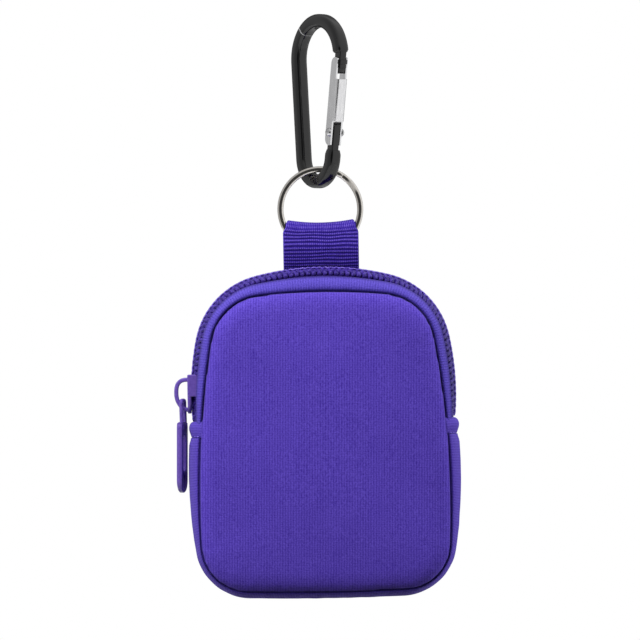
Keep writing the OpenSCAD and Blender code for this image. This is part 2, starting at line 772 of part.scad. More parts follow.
// Pull: y down from its bar, z across the zip
module pull_body_shape() {
    r = pull_w / 2;
    top = -eye_l - shoulder_r;
    difference() {
        union() {
            translate([r - pull_l, 0]) circle(r);
            translate([r - pull_l, -r]) square([pull_l - r + top, pull_w]);
            translate([r - pull_l, shoulder_r - r])
                square([pull_l - r + top + shoulder_r, pull_w - 2 * shoulder_r]);
            for (side = [-1, 1]) translate([top, side * (r - shoulder_r)]) circle(shoulder_r);
        }
        translate([-slot_start, 0]) stroke([[-slot_w / 2, 0], [slot_w / 2 - slot_l, 0]], slot_w);
    }
}

module pull_tab() {
    rail_w = neck_w / 2 - eye_half_w;
    color("#4b3a91") at_slider() translate(pull_pivot) rotate(pouch_lean) rotate([0, pull_turn, 0]) {
        cylinder(r = pull_bar_r, h = neck_w, center = true);
        for (side = [0, 1]) mirror([0, 0, side]) translate([-neck_t / 2, -eye_l, eye_half_w])
            cube([neck_t, eye_l, rail_w]);
        translate([-neck_t / 2, -eye_l - shoulder_r, -neck_w / 2]) cube([neck_t, shoulder_r, neck_w]);
        facing(pull_offset - pull_t / 2, pull_offset + pull_t / 2) pull_body_shape();
    }
}

carabiner_hook();
gate_rivet();
gate_spring();
carabiner_gate();
split_ring();
webbing_loop();
webbing_tails();
back_panel();
gusset();
back_zip_strip();
back_zip_tape();
back_zip_coil();
front_panel_lower();
front_strip_ends();
front_tape_ends();
front_coil_ends();
left_end_tab();
right_end_tab();
front_panel_upper();
front_zip_strip();
front_zip_tape();
front_zip_coil();
slider_body();
slider_bail();
pull_tab();
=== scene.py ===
"""A keychain wallet pouch: padded knit fabric, a coil zip, ribbed webbing, a split ring and a carabiner.

Sizes are in millimetres and follow the part's own named values. A mesh is in metres, in the
part's frame: +X to the right, +Y to the back and +Z up, from the underside of the hook's top bow.
"""

import logging
import math
from dataclasses import dataclass
from enum import Enum
from typing import Any, Dict, Optional, Sequence, Tuple

import bmesh
import bpy
import numpy as np
from bpy.types import Material, Mesh, Node, NodeSocket, NodeTree, Object
from mathutils import Matrix, Vector


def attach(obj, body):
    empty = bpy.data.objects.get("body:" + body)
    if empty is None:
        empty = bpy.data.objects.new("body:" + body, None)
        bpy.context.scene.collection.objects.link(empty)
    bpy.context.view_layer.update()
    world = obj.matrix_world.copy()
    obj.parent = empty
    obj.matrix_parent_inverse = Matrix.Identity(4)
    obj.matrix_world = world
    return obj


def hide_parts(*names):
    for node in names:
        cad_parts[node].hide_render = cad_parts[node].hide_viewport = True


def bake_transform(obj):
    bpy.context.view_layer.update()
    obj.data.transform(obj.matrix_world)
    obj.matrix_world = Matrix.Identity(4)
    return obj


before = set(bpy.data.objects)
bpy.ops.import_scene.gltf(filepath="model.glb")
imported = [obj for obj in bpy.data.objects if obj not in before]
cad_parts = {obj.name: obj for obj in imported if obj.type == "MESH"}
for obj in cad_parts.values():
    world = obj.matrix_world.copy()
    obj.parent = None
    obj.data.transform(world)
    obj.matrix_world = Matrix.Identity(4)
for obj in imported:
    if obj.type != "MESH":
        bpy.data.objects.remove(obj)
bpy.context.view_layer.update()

LOG = logging.getLogger("pouch")
MM = 0.001
PHOTO_SIDE = 640
ORIGIN_PIXEL = (320.3, 27.3)
MM_PER_PIXEL = 0.331


class Body(Enum):
    """The bodies that the new pieces ride on."""

    CARABINER = "carabiner"
    RING = "ring"
    LOOP = "loop"
    POUCH = "pouch"
    FLAP = "flap"
    SLIDER = "slider"
    PULL = "pull"


class Slot(Enum):
    """Names for the new pieces' finishes, passed to dress(), which doesn't use them."""

    ANODISED = "black_anodised"
    NICKEL = "nickel"
    WEBBING = "nylon_webbing"
    KNIT = "knit_panel"
    BAND = "band_fabric"
    TAPE = "zip_tape"
    COIL = "zip_coil"
    PAINT = "slider_paint"


class Side(Enum):
    """Which face of the pouch a piece belongs to, as the sign of its height."""

    FRONT = 1
    BACK = -1


# Numbers, curves and places


def srgb(hex_colour: str) -> Tuple[float, float, float, float]:
    """Turns an sRGB hex colour into a linear one.

    Args:
        hex_colour: six hex digits after a hash sign.

    Returns:
        Red, green, blue and alpha, linear, from 0 to 1.
    """
    parts = [int(hex_colour[i : i + 2], 16) / 255 for i in (1, 3, 5)]
    linear = [c / 12.92 if c <= 0.04045 else ((c + 0.055) / 1.055) ** 2.4 for c in parts]
    return linear[0], linear[1], linear[2], 1.0


def smoothstep(t: np.ndarray) -> np.ndarray:
    """Eases 0 to 1, held at both ends."""
    t = np.clip(t, 0.0, 1.0)
    return t * t * (3 - 2 * t)


def fades(distance: np.ndarray, width: float) -> np.ndarray:
    """Falls softly from 1 to 0 with the distance, over about a width."""
    return np.exp(-((np.clip(distance, 0, None) / width) ** 2))


def lifted(flat: np.ndarray, height: Any) -> np.ndarray:
    """Adds a height, or one for each point, as the last coordinate of flat points."""
    return np.concatenate([flat, np.broadcast_to(height, flat.shape[:-1])[..., None]], axis=-1)


@dataclass(frozen=True)
class Ripples:
    """Soft noise from a few fixed waves, the same on every run.

    size is the length of one ripple and depth about how high it is. seed chooses the waves.
    """

    size: float
    depth: float
    seed: int
    waves: int = 7

    def at(self, points: np.ndarray) -> np.ndarray:
        """Reads the noise.

        Args:
            points: places in mm, with the coordinates last.

        Returns:
            One height for each place.
        """
        rng = np.random.default_rng(self.seed)
        total = np.zeros(points.shape[:-1])
        for _ in range(self.waves):
            direction = rng.normal(size=points.shape[-1])
            pitch = self.size * (0.7 + 0.6 * rng.random())
            direction *= 2 * math.pi / (pitch * np.linalg.norm(direction))
            total += np.sin(points @ direction + rng.random() * 2 * math.pi)
        return self.depth * 2 * total / self.waves

    def along(self, distance: np.ndarray) -> np.ndarray:
        """Reads the noise at distances along one line."""
        return self.at(np.column_stack([distance, np.zeros_like(distance)]))


@dataclass(frozen=True)
class Arc:
    """A circle in the pouch's upright plane.

    x and z are its centre and r its radius, in mm.
    """

    x: float
    z: float
    r: float

    def angle_at(self, z: float) -> float:
        """The angle, on the right, at which the circle reaches a height."""
        return math.asin((z - self.z) / self.r)

    def x_at(self, z: float) -> float:
        """How far right the circle reaches at a height."""
        return self.x + self.r * math.cos(self.angle_at(z))

    def angle_to(self, other: "Arc") -> float:
        """The angle from this centre to another circle's centre."""
        return math.atan2(other.z - self.z, other.x - self.x)

    def points(self, start: float, end: float, steps: int) -> np.ndarray:
        """Samples the circle.

        Args:
            start: the first angle in radians.
            end: the last angle in radians.
            steps: how many steps lie between them.

        Returns:
            Rows of x, z and the normal's angle.
        """
        a = np.linspace(start, end, steps + 1)
        return np.stack([self.x + self.r * np.cos(a), self.z + self.r * np.sin(a), a], axis=1)


def corner_arc(one: Arc, two: Arc, radius: float) -> Arc:
    """Finds the corner that rounds off two arcs from inside, on the right.

    Args:
        one: the first arc.
        two: the second arc.
        radius: the corner's radius in mm.

    Returns:
        The corner's circle.
    """
    p, q = np.array([one.x, one.z]), np.array([two.x, two.z])
    r, s = one.r - radius, two.r - radius
    d = float(np.linalg.norm(q - p))
    along = (r * r - s * s + d * d) / (2 * d)
    e = (q - p) / d
    across = math.sqrt(r * r - along * along) * np.array([-e[1], e[0]])
    best = max((p + along * e + across, p + along * e - across), key=lambda c: c[0])
    return Arc(float(best[0]), float(best[1]), radius)


def three_arcs(side: Arc, start: float, corner: Arc, end: Arc, last: float, steps: int) -> np.ndarray:
    """Joins a side, a corner and an end arc, and mirrors them to the left.

    Args:
        side: the long side's arc.
        start: the angle at which the side starts.
        corner: the corner's arc.
        end: the arc over the top or along the bottom.
        last: the angle at which the end arc meets the middle.
        steps: steps on each arc.

    Returns:
        Rows of x, z and the normal's angle from the right over the middle to the left.
    """
    first, second = side.angle_to(corner), end.angle_to(corner)
    half = np.concatenate(
        [
            side.points(start, first, steps), corner.points(first, second, steps)[1:],
            end.points(second, last, steps)[1:],
        ]
    )
    left = half[-2::-1] * [-1, 1, -1] + [0, 0, math.pi]
    if last < 0:
        left[:, 2] -= 2 * math.pi
    return np.concatenate([half, left])


def lengths(path: np.ndarray) -> np.ndarray:
    """The distance along a path at each of its points."""
    steps = np.linalg.norm(np.diff(path, axis=0), axis=1)
    return np.concatenate([[0.0], np.cumsum(steps)])


def at_lengths(path: np.ndarray, places: np.ndarray, wanted: np.ndarray) -> np.ndarray:
    """Reads every column of a path at new distances along it."""
    return np.stack([np.interp(wanted, places, path[:, k]) for k in range(path.shape[1])], axis=1)


@dataclass
class PouchLines:
    """The hanging pouch's main lines, with the same sizes as the part's source."""

    ring_z: float = -60.2
    lean: float = math.radians(1.0)
    forward: float = 2.0
    half_w: float = 45.0
    zip_inset: float = 1.0
    zip_top_drop: float = 18.9
    zip_top_r: float = 90.0
    zip_corner_r: float = 27.0
    zip_side_r: float = 90.0
    zip_widest_drop: float = 42.0
    panel_inset: float = 3.4
    panel_top_drop: float = 8.1
    panel_bottom_drop: float = 107.5
    panel_top_r: float = 180.0
    panel_corner_r: float = 18.0
    panel_low_corner_r: float = 15.5
    panel_side_r: float = 300.0
    panel_widest_drop: float = 77.0
    gusset_bottom_drop: float = 109.8
    gusset_corner_r: float = 18.5
    gusset_side_r: float = 170.0
    bottom_arc_r: float = 800.0
    gusset_widest_drop: float = 68.2
    seam_h: float = 10.5
    panel_rise: float = 3.5
    tab_angle: float = math.radians(5.7)
    tab_l: float = 4.8
    tab_gap: float = 0.3
    fold_line_drop: float = 34.7

    def __post_init__(self) -> None:
        """Works out the arcs' circles and the main heights."""
        self.zip_top = self.ring_z - self.zip_top_drop
        self.zip_over = Arc(0, self.zip_top - self.zip_top_r, self.zip_top_r)
        self.zip_side = Arc(
            self.half_w - self.zip_inset - self.zip_side_r, self.zip_top - self.zip_widest_drop,
            self.zip_side_r,
        )
        self.zip_corner = corner_arc(self.zip_over, self.zip_side, self.zip_corner_r)
        self.panel_over = Arc(
            0, self.zip_top - self.panel_top_drop - self.panel_top_r, self.panel_top_r
        )
        self.panel_side = Arc(
            self.half_w - self.panel_inset - self.panel_side_r, self.zip_top - self.panel_widest_drop,
            self.panel_side_r,
        )
        self.panel_corner = corner_arc(self.panel_over, self.panel_side, self.panel_corner_r)
        self.panel_foot = Arc(
            0, self.zip_top - self.panel_bottom_drop + self.bottom_arc_r, self.bottom_arc_r
        )
        self.panel_low_corner = corner_arc(self.panel_foot, self.panel_side, self.panel_low_corner_r)
        self.gusset_foot = Arc(
            0, self.zip_top - self.gusset_bottom_drop + self.bottom_arc_r, self.bottom_arc_r
        )
        self.gusset_side = Arc(
            self.half_w - self.gusset_side_r, self.zip_top - self.gusset_widest_drop,
            self.gusset_side_r,
        )
        self.gusset_corner = corner_arc(self.gusset_foot, self.gusset_side, self.gusset_corner_r)
        self.tab_z = self.zip_side.z - self.zip_side_r * math.sin(self.tab_angle)
        self.ends_z = self.tab_z - self.tab_l - self.tab_gap
        self.fold_z = self.zip_top - self.fold_line_drop

    def place(self, points: np.ndarray) -> np.ndarray:
        """Puts points of the upright plane into the part's frame.

        Args:
            points: x, z and the height towards the front, in mm, in the last axis.

        Returns:
            The same points in metres.
        """
        x, z, h = points[..., 0], points[..., 1] - self.ring_z, points[..., 2]
        c, s = math.cos(self.lean), math.sin(self.lean)
        placed = np.stack([x * c - z * s, -self.forward - h, self.ring_z + x * s + z * c], axis=-1)
        return placed * MM

    def zip_line(self, low: float, steps: int) -> np.ndarray:
        """The zip's outer line above a height."""
        start = self.zip_side.angle_at(low)
        return three_arcs(self.zip_side, start, self.zip_corner, self.zip_over, math.pi / 2, steps)

    def panel_above(self, low: float, steps: int) -> np.ndarray:
        """The panels' outline above a height."""
        start = self.panel_side.angle_at(low)
        return three_arcs(self.panel_side, start, self.panel_corner, self.panel_over, math.pi / 2, steps)

    def panel_below(self, high: float, steps: int) -> np.ndarray:
        """The panels' outline below a height."""
        start, corner = self.panel_side.angle_at(high), self.panel_low_corner
        return three_arcs(self.panel_side, start, corner, self.panel_foot, -math.pi / 2, steps)

    def gusset_below(self, high: float, steps: int) -> np.ndarray:
        """The gusset's outer line below a height."""
        start, corner = self.gusset_side.angle_at(high), self.gusset_corner
        return three_arcs(self.gusset_side, start, corner, self.gusset_foot, -math.pi / 2, steps)

    def panel_outline(self, steps: int) -> np.ndarray:
        """Draws the panels' whole outline, turning left from the right side.

        Args:
            steps: steps on each arc.

        Returns:
            Rows of x, z and the normal's angle, going round once.
        """
        above = self.panel_above(self.fold_z, steps)
        below = self.panel_below(self.fold_z, steps)[::-1]
        return np.concatenate([above, below[1:-1]])


LINES = PouchLines()


# Meshes


def finish_mesh(mesh: Mesh, crease: float) -> None:
    """Turns faces outwards and shades them smooth, except over sharp edges.

    Args:
        mesh: the mesh.
        crease: edges that turn more than this angle in degrees stay sharp.
    """
    work = bmesh.new()
    work.from_mesh(mesh)
    bmesh.ops.recalc_face_normals(work, faces=work.faces)
    work.to_mesh(mesh)
    work.free()
    mesh.polygons.foreach_set("use_smooth", [True] * len(mesh.polygons))
    mesh.set_sharp_from_angle(angle=math.radians(crease))


def skin(
    name: str, rings: np.ndarray, looped: bool = False, crease: float = 60.0,
    values: Optional[Dict[str, np.ndarray]] = None,
) -> Object:
    """Skins a row of closed rings, and closes both ends unless the row is a loop.

    Args:
        name: the new piece's name.
        rings: places in metres, by ring, by point and by axis.
        looped: whether the last ring joins the first.
        crease: edges that turn more than this angle in degrees stay sharp.
        values: named numbers to keep with the points, by ring and by point.

    Returns:
        The new piece. Its map "cloth" holds mm along the row and mm round the ring.
    """
    m, n, _ = rings.shape
    points = [tuple(p) for p in rings.reshape(-1, 3)]
    along = np.concatenate([[0], np.cumsum(np.linalg.norm(np.diff(rings, axis=0), axis=2).mean(1))])
    closed = np.concatenate([rings, rings[:, :1]], axis=1)
    round_it = np.concatenate([[0], np.cumsum(np.linalg.norm(np.diff(closed, axis=1), axis=2).mean(0))])
    if looped:
        step = np.linalg.norm(rings[0] - rings[-1], axis=1).mean()
        along = np.concatenate([along, [along[-1] + step]])
    i, j = np.meshgrid(np.arange(m if looped else m - 1), np.arange(n), indexing="ij")
    i, j = i.ravel(), j.ravel()
    i2, j2 = (i + 1) % m, (j + 1) % n
    faces = np.stack([i * n + j, i * n + j2, i2 * n + j2, i2 * n + j], axis=1).tolist()
    u = np.stack([along[i], along[i], along[i + 1], along[i + 1]], axis=1)
    v = np.stack([round_it[j], round_it[j + 1], round_it[j + 1], round_it[j]], axis=1)
    cloth = [np.stack([u, v], axis=2).reshape(-1, 2) / MM]
    if not looped:
        for ring, base, order in ((0, 0, 1), (m - 1, n * (m - 1), -1)):
            tip = len(points)
            points.append(tuple(rings[ring].mean(0)))
            for k in range(n):
                pair = (base + k, base + (k + 1) % n)[::order]
                faces.append([pair[0], pair[1], tip])
                cloth.append(np.array([[along[ring], round_it[k]]] * 3) / MM)
    mesh = bpy.data.meshes.new(name)
    mesh.from_pydata(points, [], faces)
    mesh.uv_layers.new(name="cloth").data.foreach_set("uv", np.concatenate(cloth).ravel())
    for key, numbers in (values or {}).items():
        padded = np.zeros(len(points), np.float32)
        padded[: m * n] = numbers.ravel()
        mesh.attributes.new(key, "FLOAT", "POINT").data.foreach_set("value", padded)
    finish_mesh(mesh, crease)
    piece = bpy.data.objects.new(name, mesh)
    bpy.context.scene.collection.objects.link(piece)
    return piece


def joined(name: str, parts: Sequence[Object]) -> Object:
    """Makes one piece of several closed ones.

    Args:
        name: the new piece's name.
        parts: the pieces, which are used up.

    Returns:
        The joined piece.
    """
    bpy.ops.object.select_all(action="DESELECT")
    for part in parts:
        part.select_set(True)
    bpy.context.view_layer.objects.active = parts[0]
    bpy.ops.object.join()
    parts[0].name = name
    parts[0].data.name = name
    return parts[0]


def tube_rings(line: np.ndarray, radii: np.ndarray, sides: int, up: np.ndarray) -> np.ndarray:
    """Gives the rings of a round strand.

    Args:
        line: the strand's middle, in metres.
        radii: its radius at each point, in metres.
        sides: points round each ring.
        up: a direction that the strand never follows, for each point or for all.

    Returns:
        The rings, for skin().
    """
    ahead = np.gradient(line, axis=0)
    ahead /= np.linalg.norm(ahead, axis=1, keepdims=True)
    across = np.cross(ahead, up)
    across /= np.linalg.norm(across, axis=1, keepdims=True)
    over = np.cross(across, ahead)
    a = np.linspace(0, 2 * math.pi, sides, endpoint=False)
    turn = np.cos(a)[None, :, None] * across[:, None] + np.sin(a)[None, :, None] * over[:, None]
    return line[:, None] + np.broadcast_to(radii, len(line))[:, None, None] * turn


def rounded_ring(a: float, b: float, r: float, steps: int) -> np.ndarray:
    """Draws the outline of a bar with rounded edges.

    Args:
        a: its size along x.
        b: its size along y.
        r: the radius of its edges.
        steps: steps round each edge.

    Returns:
        Rows of x and y about its middle.
    """
    out = []
    for sx, sy, start in ((1, 1, 0), (-1, 1, 90), (-1, -1, 180), (1, -1, 270)):
        t = np.radians(np.linspace(start, start + 90, steps + 1))
        x, y = sx * (a / 2 - r) + r * np.cos(t), sy * (b / 2 - r) + r * np.sin(t)
        out.append(np.stack([x, y], axis=1))
    return np.concatenate(out)


def slab(outline: np.ndarray, low: float, high: float, edge: float) -> Tuple[np.ndarray, np.ndarray]:
    """Lays out a plate with rounded edges.

    Args:
        outline: its outline in mm, by point, going round once.
        low: where its thickness starts, in mm.
        high: where its thickness ends, in mm.
        edge: the radius of its edges in mm.

    Returns:
        The outlines of its layers, and each layer's height.
    """
    face_inset = edge + 0.12
    ahead = np.roll(outline, -1, axis=0) - np.roll(outline, 1, axis=0)
    ahead /= np.linalg.norm(ahead, axis=1, keepdims=True)
    side = np.stack([-ahead[:, 1], ahead[:, 0]], axis=1)
    inward = side * np.sign((side * (outline.mean(0) - outline)).sum())
    t = np.linspace(0, math.pi / 2, 5)
    inset, rise = edge * (1 - np.sin(t)), edge * (1 - np.cos(t))
    insets = np.concatenate([[face_inset], inset, inset[::-1], [face_inset]])
    levels = np.concatenate([[low], low + rise, (high - rise)[::-1], [high]])
    return outline + insets[:, None, None] * inward, levels


def vertex_places(piece: Object) -> np.ndarray:
    """Reads where a piece's points are.

    Args:
        piece: the piece.

    Returns:
        Rows of x, y and z, in metres.
    """
    flat = np.empty(len(piece.data.vertices) * 3, np.float32)
    piece.data.vertices.foreach_get("co", flat)
    return flat.reshape(-1, 3).astype(float)


def set_places(piece: Object, places: np.ndarray) -> None:
    """Moves a piece's points to new places, in metres."""
    piece.data.vertices.foreach_set("co", places.astype(np.float32).ravel())
    piece.data.update()


def apply_modifiers(piece: Object) -> None:
    """Bakes a piece's modifiers into its mesh and removes them.

    Args:
        piece: the piece.
    """
    graph = bpy.context.evaluated_depsgraph_get()
    mesh = bpy.data.meshes.new_from_object(piece.evaluated_get(graph))
    piece.modifiers.clear()
    old = piece.data
    piece.data = mesh
    bpy.data.meshes.remove(old)
    mesh.polygons.foreach_set("use_smooth", [True] * len(mesh.polygons))


# Finishes


def add_node(
    tree: NodeTree, kind: str, settings: Optional[Dict[str, Any]] = None,
    values: Optional[Dict[Any, Any]] = None, links: Optional[Dict[Any, NodeSocket]] = None,
) -> Node:
    """Adds one shader node.

    Args:
        tree: the material's or world's node tree.
        kind: the node's type, without ShaderNode before it.
        settings: its own properties.
        values: numbers or colours for its inputs, by name or place.
        links: outputs to join to its inputs, by name or place.

    Returns:
        The new node.
    """
    node = tree.nodes.new(f"ShaderNode{kind}")
    for key, value in (settings or {}).items():
        setattr(node, key, value)
    for key, value in (values or {}).items():
        node.inputs[key].default_value = value
    for key, socket in (links or {}).items():
        tree.links.new(socket, node.inputs[key])
    return node


def new_material(name: str) -> Tuple[Material, NodeTree, Node]:
    """Starts a material.

    Args:
        name: its name.

    Returns:
        The material, its node tree and its surface shader.
    """
    material = bpy.data.materials.new(name)
    material.use_nodes = True
    return material, material.node_tree, material.node_tree.nodes["Principled BSDF"]


def set_surface(
    tree: NodeTree, shader: Node, links: Dict[str, NodeSocket], values: Dict[str, Any],
) -> None:
    """Joins patterns to a surface shader and sets what is the same all over.

    Args:
        tree: the material's node tree.
        shader: its surface shader.
        links: outputs for the shader's inputs.
        values: numbers or colours for the shader's inputs.
    """
    for key, socket in links.items():
        tree.links.new(socket, shader.inputs[key])
    for key, value in values.items():
        shader.inputs[key].default_value = value


def wave_scale(pitch: float) -> float:
    """The wave texture's scale that repeats once in a pitch, in the coordinate's unit."""
    return 2 * math.pi / (20 * pitch)


@dataclass(frozen=True)
class KnitNeoprene:
    """Nylon jersey, circular knitted and glued to foam rubber.

    Its wales and courses give the eye a faint vertical rib with an uneven tone, and its short
    pile scatters light softly at the edges. Real wales are about 0.35 mm apart. They are drawn
    rib_pitch apart, in mm, so that they show. The points' value "seam" pulls it towards the
    crease colour, as painted shade in the seams. The shares are how much each pattern counts
    in the tone beside the wales.
    """

    name: str
    colour: str
    low: str
    # The colour of the painted shade in the seams
    crease: str = "#22156c"
    rib_pitch: float = 0.88
    course_pitch: float = 0.75
    pile_depth: float = 0.12
    mapped: bool = False
    course_share: float = 0.3
    grain_share: float = 4.0
    streak_share: float = 0.4
    cloud_share: float = 0.4

    def material(self) -> Material:
        """Builds the fabric's material.

        Returns:
            The material.
        """
        material, tree, shader = new_material(self.name)
        if self.mapped:
            place = add_node(tree, "UVMap", {"uv_map": "cloth"}).outputs["UV"]
            courses_run, stretched = "Y", (1.0, 0.3, 1.0)
        else:
            metres = add_node(tree, "TexCoord").outputs["Object"]
            place = add_node(
                tree, "VectorMath", {"operation": "SCALE"}, {"Scale": 1 / MM}, {0: metres}
            ).outputs[0]
            courses_run, stretched = "Z", (1.0, 0.15, 0.15)
        wales = add_node(
            tree,
            "TexWave",
            {"wave_type": "BANDS", "bands_direction": "X"},
            {
                "Scale": wave_scale(self.rib_pitch), "Distortion": 0.9, "Detail": 2.0,
                "Detail Scale": 0.8,
            },
            {"Vector": place},
        ).outputs["Fac"]
        courses = add_node(
            tree, "TexWave", {"wave_type": "BANDS", "bands_direction": courses_run},
            {"Scale": wave_scale(self.course_pitch), "Distortion": 2.0, "Detail": 2.0},
            {"Vector": place},
        ).outputs["Fac"]
        grain = add_node(
            tree, "TexNoise", None, {"Scale": 2.3, "Detail": 2.0}, {"Vector": place}
        ).outputs["Fac"]
        drawn = add_node(
            tree, "Mapping", None, {"Scale": stretched}, {"Vector": place}
        ).outputs["Vector"]
        streaks = add_node(
            tree, "TexNoise", None, {"Scale": 0.55, "Detail": 3.0}, {"Vector": drawn}
        ).outputs["Fac"]
        clouds = add_node(
            tree, "TexNoise", None, {"Scale": 0.11, "Detail": 2.0}, {"Vector": place}
        ).outputs["Fac"]
        pile = wales
        for share, pattern in ((self.course_share, courses), (self.grain_share, grain)):
            pile = add_node(
                tree, "Math", {"operation": "MULTIPLY_ADD"}, {1: share}, {0: pattern, 2: pile}
            ).outputs[0]
        tone = pile
        for share, pattern in ((self.streak_share, streaks), (self.cloud_share, clouds)):
            tone = add_node(
                tree, "Math", {"operation": "MULTIPLY_ADD"}, {1: share}, {0: pattern, 2: tone}
            ).outputs[0]
        shade = add_node(
            tree, "MapRange", None, {"From Min": 1.75, "From Max": 4.15}, {"Value": tone}
        ).outputs[0]
        colour = add_node(
            tree, "Mix", {"data_type": "RGBA"}, {6: srgb(self.low), 7: srgb(self.colour)}, {0: shade},
        ).outputs[2]
        # Painted shade: the points' value "seam" pulls the colour towards the crease colour in the seams
        sewn = add_node(tree, "Attribute", {"attribute_name": "seam"}).outputs["Fac"]
        colour = add_node(
            tree, "Mix", {"data_type": "RGBA"}, {7: srgb(self.crease)}, {0: sewn, 6: colour}
        ).outputs[2]
        relief = add_node(
            tree, "Bump", None,
            {"Strength": 1.0, "Distance": self.pile_depth / self.grain_share * MM}, {"Height": pile},
        ).outputs["Normal"]
        set_surface(
            tree,
            shader,
            {"Base Color": colour, "Normal": relief},
            {
                "Roughness": 0.85, "Specular IOR Level": 0.25, "Sheen Weight": 0.2,
                "Sheen Roughness": 0.5, "Sheen Tint": srgb("#b7a8ff"),
            },
        )
        return material


@dataclass(frozen=True)
class RibbedNylon:
    """Grosgrain nylon webbing, woven with thick weft ribs under fine warp threads.

    The ribs are in the mesh. Their colour is painted by their height: painted shade in the grooves between
    them and painted highlight on their tops, where the threads show lighter.
    thread_pitch is the distance between warp threads in mm. The real one is about 0.3 mm, drawn
    coarser so that it shows. The shares are how much threads and unevenness add to the ribs' tone.
    """

    name: str = "ribbed_nylon_webbing"
    # Colours by rib height: painted highlight on the tops, the plain colour, and painted shade in the
    # grooves
    top: str = "#7a64d2"
    middle: str = "#341c9c"
    groove_shade: str = "#170b55"
    thread_pitch: float = 0.66
    thread_depth: float = 0.09
    thread_share: float = 1.15
    uneven_share: float = 0.6

    def material(self) -> Material:
        """Builds the webbing's material.

        Returns:
            The material.
        """
        material, tree, shader = new_material(self.name)
        place = add_node(tree, "UVMap", {"uv_map": "cloth"}).outputs["UV"]
        rib = add_node(tree, "Attribute", {"attribute_name": "rib"}).outputs["Fac"]
        threads = add_node(
            tree, "TexWave", {"wave_type": "BANDS", "bands_direction": "Y"},
            {"Scale": wave_scale(self.thread_pitch), "Distortion": 1.2, "Detail Scale": 1.2},
            {"Vector": place},
        ).outputs["Fac"]
        uneven = add_node(
            tree, "TexNoise", None, {"Scale": 0.45, "Detail": 3.0}, {"Vector": place}
        ).outputs["Fac"]
        lit = add_node(tree, "Math", {"operation": "MULTIPLY"}, None, {0: threads, 1: rib}).outputs[0]
        tone = rib
        for share, pattern in ((self.thread_share, lit), (self.uneven_share, uneven)):
            tone = add_node(
                tree, "Math", {"operation": "MULTIPLY_ADD"}, {1: share}, {0: pattern, 2: tone}
            ).outputs[0]
        # Painted shade and highlight: the rib's height runs the colour from the grooves' shade to the tops'
        # highlight
        shade = add_node(
            tree, "MapRange", None, {"From Min": 0.25, "From Max": 2.25}, {"Value": tone}
        ).outputs[0]
        colours = add_node(tree, "ValToRGB", None, None, {"Fac": shade})
        stops = colours.color_ramp.elements
        stops.new(0.5)
        for stop, (at, colour) in zip(stops, ((0.0, self.groove_shade), (0.5, self.middle), (1.0, self.top))):
            stop.position, stop.color = at, srgb(colour)
        relief = add_node(
            tree, "Bump", None, {"Strength": 1.0, "Distance": self.thread_depth * MM}, {"Height": lit},
        ).outputs["Normal"]
        set_surface(
            tree, shader, {"Base Color": colours.outputs["Color"], "Normal": relief},
            {"Roughness": 0.7, "Specular IOR Level": 0.3, "Sheen Weight": 0.05},
        )
        return material


@dataclass(frozen=True)
class WovenTape:
    """Polyester zip tape, woven in a fine twill, which gives the eye faint slanting lines.

    Real twill lines are about 0.3 mm apart. thread_pitch, in mm, is coarser so that they show.
    """

    name: str = "woven_polyester_tape"
    colour: str = "#3a2a80"
    low: str = "#1f1449"
    thread_pitch: float = 0.5
    thread_depth: float = 0.04
    twill_angle: float = math.radians(38)

    def material(self) -> Material:
        """Builds the tape's material.

        Returns:
            The material.
        """
        material, tree, shader = new_material(self.name)
        place = add_node(tree, "UVMap", {"uv_map": "cloth"}).outputs["UV"]
        turned = add_node(
            tree, "Mapping", None, {"Rotation": (0, 0, self.twill_angle)}, {"Vector": place}
        ).outputs["Vector"]
        twill = add_node(
            tree, "TexWave", {"wave_type": "BANDS", "bands_direction": "X"},
            {"Scale": wave_scale(self.thread_pitch), "Distortion": 0.4}, {"Vector": turned},
        ).outputs["Fac"]
        colour = add_node(
            tree, "Mix", {"data_type": "RGBA"}, {6: srgb(self.low), 7: srgb(self.colour)}, {0: twill},
        ).outputs[2]
        relief = add_node(
            tree, "Bump", None, {"Strength": 1.0, "Distance": self.thread_depth * MM},
            {"Height": twill},
        ).outputs["Normal"]
        set_surface(tree, shader, {"Base Color": colour, "Normal": relief}, {"Roughness": 0.75})
        return material


@dataclass(frozen=True)
class DyedFilament:
    """Drawn nylon filament or spun polyester thread, dyed through.

    A drawn skin is smooth and gives small bright points of light, and a spun one is rougher. The
    tone varies with the dye.
    """

    name: str
    colour: str
    low: str
    roughness: float = 0.22
    dent_depth: float = 0.04

    def material(self) -> Material:
        """Builds the filament's material.

        Returns:
            The material.
        """
        material, tree, shader = new_material(self.name)
        metres = add_node(tree, "TexCoord").outputs["Object"]
        uneven = add_node(
            tree, "TexNoise", None, {"Scale": 1.1 / MM, "Detail": 2.0}, {"Vector": metres}
        ).outputs["Fac"]
        share = add_node(
            tree, "MapRange", None, {"From Min": 0.35, "From Max": 0.65}, {"Value": uneven}
        ).outputs[0]
        colour = add_node(
            tree, "Mix", {"data_type": "RGBA"}, {6: srgb(self.low), 7: srgb(self.colour)}, {0: share},
        ).outputs[2]
        relief = add_node(
            tree, "Bump", None, {"Strength": 1.0, "Distance": self.dent_depth * MM}, {"Height": uneven},
        ).outputs["Normal"]
        set_surface(
            tree, shader, {"Base Color": colour, "Normal": relief},
            {"Roughness": self.roughness, "Specular IOR Level": 0.35},
        )
        return material


